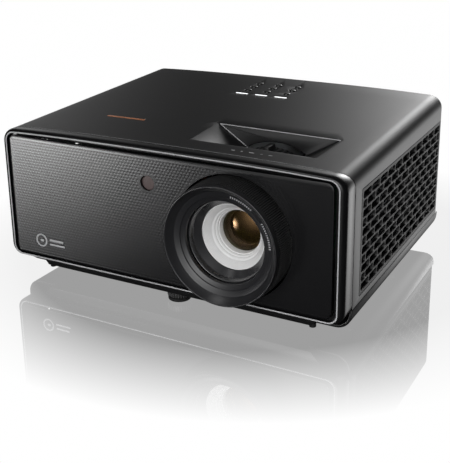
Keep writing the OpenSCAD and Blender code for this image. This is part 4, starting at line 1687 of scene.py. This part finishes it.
@dataclass
class CaseRest:
    """Lower shell, rear panel, window, badge and other small parts of the case."""

    form: CaseForm
    shop: Workshop
    symbols_y: float = 24.5
    symbols: tuple[Flat, ...] = ((60.0, 3.4), (68.0, 2.0), (77.0, 4.6), (86.0, 2.0), (94.0, 3.4))

    def build(self) -> None:
        """Builds the pieces."""
        copies = (("bottom_case", "lower_shell", 0.4, Slot.CASE),
                  ("rear_panel", "rear_plate", 0.35, Slot.REAR),
                  ("corner_stops", "corner_stop_pads", 0.5, Slot.RUBBER),
                  ("case_screws", "case_screw_set", 0.2, Slot.SCREW),
                  ("ceiling_inserts", "ceiling_insert_set", 0.2, Slot.BRASS),
                  ("port_plate", "port_bezel_plate", 0.1, Slot.PORT),
                  ("port_sockets", "port_socket_set", 0.12, Slot.PORT),
                  ("power_inlet", "power_inlet_body", 0.3, Slot.INLET))
        for node, name, width, slot in copies:
            self.shop.place(softened_copy(node, name, width), "chassis", slot, node, angle=30)
        self.window()
        self.badge()
        self.lens_symbols()

    def window(self) -> None:
        """Makes the round window of the remote receiver, slightly domed."""
        low, high = node_box("ir_window")
        centre = ((low.x + high.x) / 2, low.y, (low.z + high.z) / 2)
        r, sweep, sag = 6.6, 0.9, 0.35
        angles = [sweep * i / 6 for i in range(1, 6)]
        dome = [(r * math.sin(a) / math.sin(sweep), 0.05 + sag * (1 - math.cos(a)) / (1 - math.cos(sweep)))
                for a in angles]
        profile = [(0.0, 3.2), (0.0, 0.05), *dome, (r - 0.15, 0.4), (r, 0.6), (r, 3.2)]
        made = turned("ir_window_lens", profile, centre, segments=64)
        self.shop.place(made, "chassis", Slot.IR, "ir_window")

    def lens_symbols(self) -> None:
        """Prints a row of plain pips on the strip in front of the finger well."""
        parts = []
        y = self.form.front + self.symbols_y
        for x, length in self.symbols:
            top = self.form.top_at(x, y)
            outline = rounded(x - length / 2, y - 0.8, x + length / 2, y + 0.8, 0.4, 3)
            parts.append(prism("pip", outline, "z", top - 0.1, top + 0.05))
        self.shop.place(joined("lens_symbols", parts), "chassis", Slot.LIGHT, finish=self.shop.print_and_highlight)

    def badge(self) -> None:
        """Makes the plain copper bar let into the cover."""
        low, high = node_box("badge_inlay")
        r = (high.y - low.y) / 2 - 0.05
        rings = []
        for draw, up in ((0.0, -0.5), (0.0, 0.06), (0.12, 0.16), (0.3, 0.2)):
            outline = rounded(low.x + draw, low.y + draw, high.x - draw, high.y - draw, r - draw, 8)
            rings.append([(x, y, self.form.top_at(x, y) + up) for x, y in outline])
        made = loft("badge_bar", rings, caps=True)
        self.shop.place(made, "chassis", Slot.BADGE, "badge_inlay")


# ---- Lens -------------------------------------------------------------------------


@dataclass
class LensAssembly:
    """Hood, ribbed focus ring, stepped barrel, glass and zoom drum."""

    shop: Workshop
    centre: Point = field(default_factory=lens_centre)
    ribs: int = 180
    rib_height: float = 0.9
    drum_radius: float = 55.5
    drum_ribs: int = 72
    drum_rib_height: float = 0.9
    tab_half: float = 3.2
    segments: int = 160

    def build(self) -> None:
        """Builds every visible part of the lens."""
        self.hood()
        self.focus_ring()
        self.barrel()
        self.glass()
        self.zoom_drum()

    def hood(self) -> None:
        """Makes the hood: a thin lip, a steep step and two cones that lead in to the barrel."""
        lip = [(51.2, 5.5), (51.2, 1.0), (51.05, 0.4), (50.7, 0.05), (50.3, 0.0), (49.9, 0.1), (49.7, 0.5)]
        cones = [(45.2, 6.0), (44.8, 6.4), (44.3, 6.6), (40.4, 7.9), (40.1, 8.1), (40.0, 8.6), (39.7, 8.9),
                 (36.4, 10.0), (36.1, 10.2), (36.0, 10.6), (36.0, 13.4)]
        profile = [*lip, *cones, (36.4, 13.5),
                   (49.1, 13.5), (49.1, 5.5)]
        made = turned("hood_rim_turned", profile, self.centre, segments=self.segments)
        self.shop.place(made, "focus_grip", Slot.HOOD, "hood_rim", angle=50)
        self.scale_marks()

    def scale_marks(self) -> None:
        """Prints two rows of plain strokes on the hood's first cone."""
        groups = []
        for count, start in ((11, 11.0), (12, 56.0)):
            near, far, raised = (43.3, 6.93), (41.5, 7.53), (-0.016, -0.047)
            rings = [[(-0.45, near[1] + k * raised[1], near[0] + k * raised[0]),
                      (0.45, near[1] + k * raised[1], near[0] + k * raised[0]),
                      (0.45, far[1] + k * raised[1], far[0] + k * raised[0]),
                      (-0.45, far[1] + k * raised[1], far[0] + k * raised[0])] for k in (-0.5, 1.0)]
            stroke = loft("stroke", rings, caps=True)
            groups.append(self.shop.ring.run("strokes", stroke, self.shop.print_and_highlight, Count=count,
                                             Centre=metres(*self.centre), Axis=[0.0, 1.0, 0.0],
                                             First=math.radians(start), Step=math.radians(2.6)))
        self.shop.place(joined("hood_scale", groups), "focus_grip", Slot.LIGHT, finish=self.shop.print_and_highlight)

    def focus_ring(self) -> None:
        """Makes the focus ring and its fine ribs."""
        h = self.rib_height
        line = [(50.9, 5.7), (52.1, 9.0), (52.6, 22.0), (52.6, 32.6)]
        profile = [(49.2, 5.6), (50.3, 5.6), *[(r - h, y) for r, y in line], (51.8, 33.0), (47.0, 33.0),
                   (47.0, 13.6), (49.2, 13.6)]
        body = turned("ring_body", profile, self.centre, segments=self.segments)
        half = math.pi * 52.0 / self.ribs * 0.52
        rings = []
        for i, (r, y) in enumerate(line):
            tip = 0.4 if i in (0, len(line) - 1) else 1.0
            base, side, crest = r - h - 0.15, r - h + h * 0.85 * tip, r - h + h * tip
            rings.append([(-half, y, base), (-half * 0.5, y, side), (0, y, crest), (half * 0.5, y, side),
                          (half, y, base)])
        rib = loft("rib", rings, around=True, caps=True)
        ribs = self.shop.ring.run("ring_ribs", rib, self.shop.finishes.get(Slot.RING), Count=self.ribs,
                                  Centre=metres(*self.centre), Axis=[0.0, 1.0, 0.0], First=0.0,
                                  Step=2 * math.pi / self.ribs)
        made = joined("focus_ring_ribbed", [body, ribs])
        self.shop.place(made, "focus_grip", Slot.RING, "focus_ring", angle=35)

    def barrel(self) -> None:
        """Makes the stepped barrel: a dark front ring and a bright inner cone."""
        front = node_box("focus_barrel")[0].y - self.centre[1]
        wall = [(28.9, 10.6), (29.2, 10.2), (33.9, 6.3), (34.3, 5.8), (34.5, 5.2), (34.5, 0.5)]
        lip = [(34.7, 0.15), (35.1, 0.0), (35.5, 0.3), (35.5, 1.6), (37.6, 1.6), (38.0, 2.0)]
        dark = [(r, front + y) for r, y in (*wall, *lip, (38.0, 11.5), (28.9, 11.5))]
        made = turned("barrel_front_ring", dark, self.centre, segments=self.segments)
        self.shop.place(made, "front_group", Slot.BARREL_DARK, angle=50)
        steps = [(28.9, 11.6), (28.6, 11.2), (28.2, 11.2), (27.9, 11.6), (23.4, 17.2), (23.2, 17.8),
                 (22.7, 18.0), (21.3, 19.8), (21.2, 20.4), (20.8, 20.6), (19.9, 22.4), (19.8, 23.2),
                 (19.3, 23.4), (18.9, 25.0), (18.7, 27.5)]
        bright = [(r, front + y) for r, y in ((38.0, 11.6), *steps, (18.7, 35.6), (38.0, 35.6))]
        made = turned("barrel_bright_cone", bright, self.centre, segments=self.segments)
        self.shop.place(made, "front_group", Slot.BARREL_BRIGHT, "focus_barrel", angle=50)

    def glass(self) -> None:
        """Makes the domed front glass and its dark retaining ring."""
        low, high = node_box("front_lens")
        r = (high.x - low.x) / 2
        front = low.y - self.centre[1]
        sag = 3.6
        curve = (r * r + sag * sag) / (2 * sag)
        steps = 20
        dome = [(r * i / steps, front + curve - math.sqrt(curve * curve - (r * i / steps) ** 2))
                for i in range(steps + 1)]
        back = high.y - self.centre[1]
        hollow = [(r * i / steps, back - 2.2 * (1 - (i / steps) ** 2)) for i in range(steps, -1, -1)]
        made = turned("front_lens_glass", dome + hollow, self.centre, segments=96)
        self.shop.place(made, "front_group", Slot.LENS_COATED, "front_lens", angle=60)

    def zoom_drum(self) -> None:
        """Makes the ribbed zoom drum and its finger tab."""
        low, high = node_box("zoom_ring")
        y0, y1 = low.y - self.centre[1], high.y - self.centre[1]
        radius, h = self.drum_radius, self.drum_rib_height
        root, web = radius - h, (y0 + y1) / 2
        profile = [(52, y0), (root - 0.4, y0), (root, y0 + 0.4), (root, y1 - 0.4), (root - 0.4, y1),
                   (52, y1), (52, web + 3), (42.4, web + 3), (42.4, web - 3), (52, web - 3)]
        body = turned("drum_body", profile, self.centre, segments=self.segments)
        half = math.pi * radius / self.drum_ribs * 0.62
        rings = []
        for y, k in ((y0 + 0.5, 0.5), (y0 + 1.2, 1.0), (y1 - 1.2, 1.0), (y1 - 0.5, 0.5)):
            top = root + h * k
            rings.append([(-half, y, root - 0.2), (-half * 0.8, y, top - 0.15), (-half * 0.5, y, top),
                          (half * 0.5, y, top), (half * 0.8, y, top - 0.15), (half, y, root - 0.2)])
        rib = loft("drum_rib", rings, caps=True)
        ribs = self.shop.ring.run("drum_ribs", rib, self.shop.finishes.get(Slot.RING), Count=self.drum_ribs,
                                  Centre=metres(*self.centre), Axis=[0.0, 1.0, 0.0],
                                  First=math.pi / self.drum_ribs, Step=2 * math.pi / self.drum_ribs)
        x, z = self.centre[0], self.centre[2]
        tab_rings = []
        for height, draw in ((53.5, -0.6), (55.6, 0.0), (58.8, 0.3), (59.6, 0.6), (59.95, 1.3)):
            half = self.tab_half - draw
            outline = rounded(x - half, high.y - 19 + draw, x + half, high.y - 4 - draw, 1.2, 4)
            tab_rings.append([(px, py, z + height) for px, py in outline])
        tab = loft("tab", tab_rings, caps=True)
        made = joined("zoom_drum_ribbed", [body, ribs, tab])
        self.shop.place(made, "zoom_grip", Slot.RING, "zoom_ring", angle=35)


# ---- Keypad -----------------------------------------------------------------------


@dataclass
class Keypad:
    """Nine domed keys and three light bars on the top cover."""

    form: CaseForm
    shop: Workshop
    radius: float = 3.4

    def build(self) -> None:
        """Builds the keys and bars."""
        for node in KEY_NODES:
            low, high = node_box(node)
            centre = ((low.x + high.x) / 2, (low.y + high.y) / 2, 0.0)
            r, top = self.radius, high.z
            profile = [(0.0, low.z), (1.8, low.z), (1.8, top - 5.0), (r + 1.2, top - 5.0),
                       (r + 1.2, top - 3.9), (r, top - 3.9), (r, top - 0.75)]
            profile += [(r - 0.5 + 0.5 * math.cos(a), top - 0.75 + 0.45 * math.sin(a))
                        for a in [math.radians(d) for d in (20, 45, 70)]]
            profile += [(r - 0.9, top - 0.22), (r * 0.5, top - 0.06), (0.0, top)]
            made = turned(node + "_cap", profile, centre, Axis.Z, 40)
            self.shop.place(made, "cap_" + node.split("_")[1], Slot.KEY, node, angle=60)
        bars = []
        for low, high in light_bars():
            rings = []
            for draw, z in ((0.0, low.z), (0.0, high.z - 0.15), (0.15, high.z - 0.03), (0.4, high.z)):
                outline = rounded(low.x + draw, low.y + draw, high.x - draw, high.y - draw, 0.95 - draw, 5)
                rings.append([(x, y, z) for x, y in outline])
            bars.append(loft("bar", rings, caps=True))
        self.shop.place(joined("light_bar_set", bars), "chassis", Slot.LIGHT, "light_guides")


# ---- Feet -------------------------------------------------------------------------


@dataclass
class LevellingFoot:
    """Levelling foot: a fluted wheel on a stud that turns over a still sole."""

    shop: Workshop
    place: str
    flutes: int = 28
    stud: float = 4.0
    pitch: float = 1.25

    def build(self) -> None:
        """Builds the wheel with its stud, and the sole."""
        low, high = node_box("foot_screw_" + self.place)
        centre = ((low.x + high.x) / 2, (low.y + high.y) / 2, 0.0)
        wheel_low, wheel_top, r = low.z + 1.8, low.z + 9.2, (high.x - low.x) / 2
        profile = [(0.0, low.z), (3.0, low.z), (3.0, wheel_low), (r - 1.6, wheel_low),
                   (r - 0.9, wheel_low + 0.5), (r - 0.7, wheel_low + 1.2), (r - 0.7, wheel_top - 1.4),
                   (r - 1.0, wheel_top - 0.5), (r - 1.8, wheel_top), (self.stud, wheel_top)]
        for i in range(int((high.z - wheel_top) / self.pitch)):
            z = wheel_top + 0.4 + i * self.pitch
            profile += [(self.stud - 0.55, z), (self.stud, z + 0.55)]
        profile += [(self.stud - 0.6, high.z), (0.0, high.z)]
        body = turned("wheel_body", profile, centre, Axis.Z, 72)
        half = math.pi * r / self.flutes * 0.55
        ends = ((wheel_low + 0.7, 3.0), (wheel_low + 1.3, 0.0),
                (wheel_top - 1.6, 0.0), (wheel_top - 0.7, 3.0))
        rings = [[(r - 1.4, -half, z), (r - 0.35 * k, -half * 0.55, z), (r - 0.3 * k, half * 0.55, z),
                  (r - 1.4, half, z)] for z, k in ends]
        flute = loft("flute", rings, caps=True)
        flutes = self.shop.ring.run("flutes", flute, self.shop.finishes.get(Slot.FOOT), Count=self.flutes,
                                    Centre=metres(*centre), Axis=[0.0, 0.0, 1.0], First=0.0,
                                    Step=2 * math.pi / self.flutes)
        made = joined("foot_wheel_" + self.place, [body, flutes])
        self.shop.place(made, "screw_" + self.place, Slot.FOOT, "foot_screw_" + self.place)
        low, high = node_box("foot_sole_" + self.place)
        r = (high.x - low.x) / 2
        groove = [(r - 2 * k - x, z) for k in range(3)
                  for x, z in ((3.4, 0.0), (3.7, 0.35), (4.3, 0.35), (4.6, 0.0))]
        profile = [(3.06, high.z), (3.06, 1.0), (0.0, 1.0), (0.0, 0.0), *reversed(groove), (r - 0.8, 0.0),
                   (r - 0.2, 0.2), (r, 0.8), (r, high.z - 0.3), (r - 0.3, high.z)]
        made = turned("foot_pad_" + self.place, profile, centre, Axis.Z, 72)
        self.shop.place(made, "sole_" + self.place, Slot.RUBBER, "foot_sole_" + self.place)


# ---- Inside -----------------------------------------------------------------------


def dress_inside(shop: Workshop) -> None:
    """Gives the parts that stay as the frame has them their finishes.

    Args:
        shop: the workshop.
    """
    plan = {
        Slot.BRASS: ("foot_inserts",),
        Slot.BARREL_DARK: ("lens_retainer", "lens_tube", "zoom_barrel"),
        Slot.LENS_PLAIN: ("zoom_lens", "rear_lens"),
        Slot.CAST: ("engine_housing",),
        Slot.MOTOR: ("wheel_motor",),
        Slot.PHOSPHOR: ("phosphor_wheel",),
        Slot.LASER: ("laser_bank",),
        Slot.FIN: ("laser_heatsink", "dmd_heatsink"),
        Slot.PIPE: ("heat_pipes",),
        Slot.BOARD: ("dmd_board", "main_board", "power_board", "keypad_board"),
        Slot.FAN_FRAME: ("fan_frame_front", "fan_frame_rear", "speaker"),
        Slot.FAN_BLADE: ("fan_rotor_front", "fan_rotor_rear"),
    }
    for slot, nodes in plan.items():
        for node in nodes:
            shop.dress(node, slot)


# ---- Stage ------------------------------------------------------------------------


@dataclass(frozen=True)
class Glow:
    """A soft light of the studio: where it comes from, how narrow and how strong it is."""

    direction: Point
    sharpness: float
    strength: float


@dataclass
class Stage:
    """Pale floor, soft lights and the camera."""

    eye: Point = (386.3, -715.3, 362.2)
    turn: float = 28.47
    tilt: float = 17.26
    roll: float = -0.81
    focal: float = 885.2
    rise: float = -76.5
    polish: float = 0.66
    polish_centre: Point = (0.0, 60.0, 0.0)
    polish_start: float = 232.0
    polish_end: float = 332.0
    ambient: float = 0.02
    glows: tuple[Glow, ...] = (
        Glow((-0.05, 0.95, 0.27), 60.0, 9.5),
        Glow((-0.72, 0.66, 0.20), 70.0, 0.9),
        Glow((0.30, 0.90, -0.30), 40.0, 2.0),
        Glow((-0.64, -0.745, -0.19), 220.0, 30.0),
        Glow((0.10, -0.95, 0.30), 12.0, 5.0),
        Glow((-0.35, -0.25, 0.90), 110.0, 4.0),
    )
    long_side: float = 463.0
    sensor: float = 36.0
    floor_reach: float = 9000.0

    def build(self) -> None:
        """Sets the stage."""
        self.floor()
        self.world()
        self.camera()
        bpy.context.scene.view_settings.view_transform = "Standard"

    def camera(self) -> None:
        """Places the camera."""
        data = bpy.data.cameras.new("camera")
        data.sensor_width = self.sensor
        data.lens = self.focal * self.sensor / self.long_side
        data.shift_y = self.rise / self.long_side
        data.clip_start, data.clip_end = 0.01, 50.0
        seat = bpy.data.objects.new("camera", data)
        bpy.context.scene.collection.objects.link(seat)
        a, e, r = (math.radians(v) for v in (self.turn, self.tilt, self.roll))
        back = Vector((math.sin(a) * math.cos(e), -math.cos(a) * math.cos(e), math.sin(e)))
        right = (-back).cross(Vector((0, 0, 1))).normalized()
        up = right.cross(-back)
        axes = (math.cos(r) * right + math.sin(r) * up, -math.sin(r) * right + math.cos(r) * up, back)
        seat.matrix_world = Matrix.Translation(Vector(self.eye) * MM) @ Matrix(axes).transposed().to_4x4()
        bpy.context.scene.camera = seat

    def floor(self) -> None:
        """Lays a large pale floor with a polish that mirrors what stands near its middle."""
        reach = self.floor_reach
        corners = [(-reach, -reach, 0), (reach, -reach, 0), (reach, reach, 0), (-reach, reach, 0)]
        made = to_mesh("floor", corners, [(0, 1, 2, 3)])
        graph = Graph("floor_lacquer")
        polish = graph.add("ShaderNodeBsdfGlossy")
        polish.inputs["Roughness"].default_value = 0.0
        shine = graph.add("ShaderNodeEmission")
        tone = graph.blend(graph.noise(1.5), (0.997, 0.997, 0.997), (1.0, 1.0, 1.0))
        graph.feed(shine.inputs["Color"], tone)
        distance = graph.radius(self.polish_centre, Axis.Z)
        share = graph.span(distance, self.polish, 0.0, self.polish_start * MM, self.polish_end * MM)
        mixed = graph.add("ShaderNodeMixShader")
        graph.feed(mixed.inputs["Fac"], share)
        graph.feed(mixed.inputs[1], shine.outputs[0])
        graph.feed(mixed.inputs[2], polish.outputs[0])
        graph.feed(graph.tree.nodes["Material Output"].inputs["Surface"], mixed.outputs[0])
        made.data.materials.append(graph.material)
        made.visible_glossy = False
        made.visible_diffuse = False

    def world(self) -> None:
        """Makes a dark studio with soft glows, white only where it is seen directly or in the floor."""
        world = bpy.data.worlds.new("studio")
        bpy.context.scene.world = world
        world.use_nodes = True
        nodes, links = world.node_tree.nodes, world.node_tree.links
        nodes.clear()
        way = nodes.new("ShaderNodeTexCoord").outputs["Generated"]

        def calc(kind: str, first: object, second: object) -> bpy.types.NodeSocket:
            """Adds a Math node for two values.

            Args:
                kind: the operation.
                first: a socket or a number.
                second: a socket or a number.

            Returns:
                The node's output.
            """
            node = nodes.new("ShaderNodeMath")
            node.operation = kind
            for socket, value in zip(node.inputs, (first, second)):
                if isinstance(value, bpy.types.NodeSocket):
                    links.new(value, socket)
                else:
                    socket.default_value = value
            return node.outputs[0]

        total: object = self.ambient
        for glow in self.glows:
            dot = nodes.new("ShaderNodeVectorMath")
            dot.operation = "DOT_PRODUCT"
            links.new(way, dot.inputs[0])
            dot.inputs[1].default_value = Vector(glow.direction).normalized()
            lobe = calc("POWER", calc("MAXIMUM", dot.outputs["Value"], 0.0), glow.sharpness)
            total = calc("ADD", total, calc("MULTIPLY", lobe, glow.strength))
        path = nodes.new("ShaderNodeLightPath")
        plain = calc("MAXIMUM", path.outputs["Is Camera Ray"], path.outputs["Is Singular Ray"])
        level = calc("ADD", calc("MULTIPLY", total, calc("SUBTRACT", 1.0, plain)), plain)
        sky = nodes.new("ShaderNodeBackground")
        sky.inputs["Color"].default_value = (1, 1, 1, 1)
        links.new(level, sky.inputs["Strength"])
        links.new(sky.outputs[0], nodes.new("ShaderNodeOutputWorld").inputs["Surface"])


# ---- Assembly ---------------------------------------------------------------------


def main() -> None:
    """Builds the projector around the frame."""
    logging.basicConfig(level=logging.INFO, format="%(message)s")
    _, high = node_box("bottom_case")
    bezel_low, bezel_high = node_box("front_bezel")
    form = CaseForm(half_width=bezel_high.x - 0.02, front=bezel_low.y, rear=high.y, top=bezel_high.z)
    shop = Workshop(Finishes(lens_centre()))
    CoverShell(form, shop).build()
    FrontFrame(form, shop, bezel_low.z).build()
    DimpledPanel(form, shop).build()
    SlottedGrille(shop, "side_grille_right", True).build()
    SlottedGrille(shop, "side_grille_left", False).build()
    CaseRest(form, shop).build()
    LensAssembly(shop).build()
    Keypad(form, shop).build()
    for place in ("front", "left", "right"):
        LevellingFoot(shop, place).build()
    dress_inside(shop)
    Stage().build()
    LOG.info("%d pieces", len(shop.pieces))


if __name__ == "__main__":
    main()
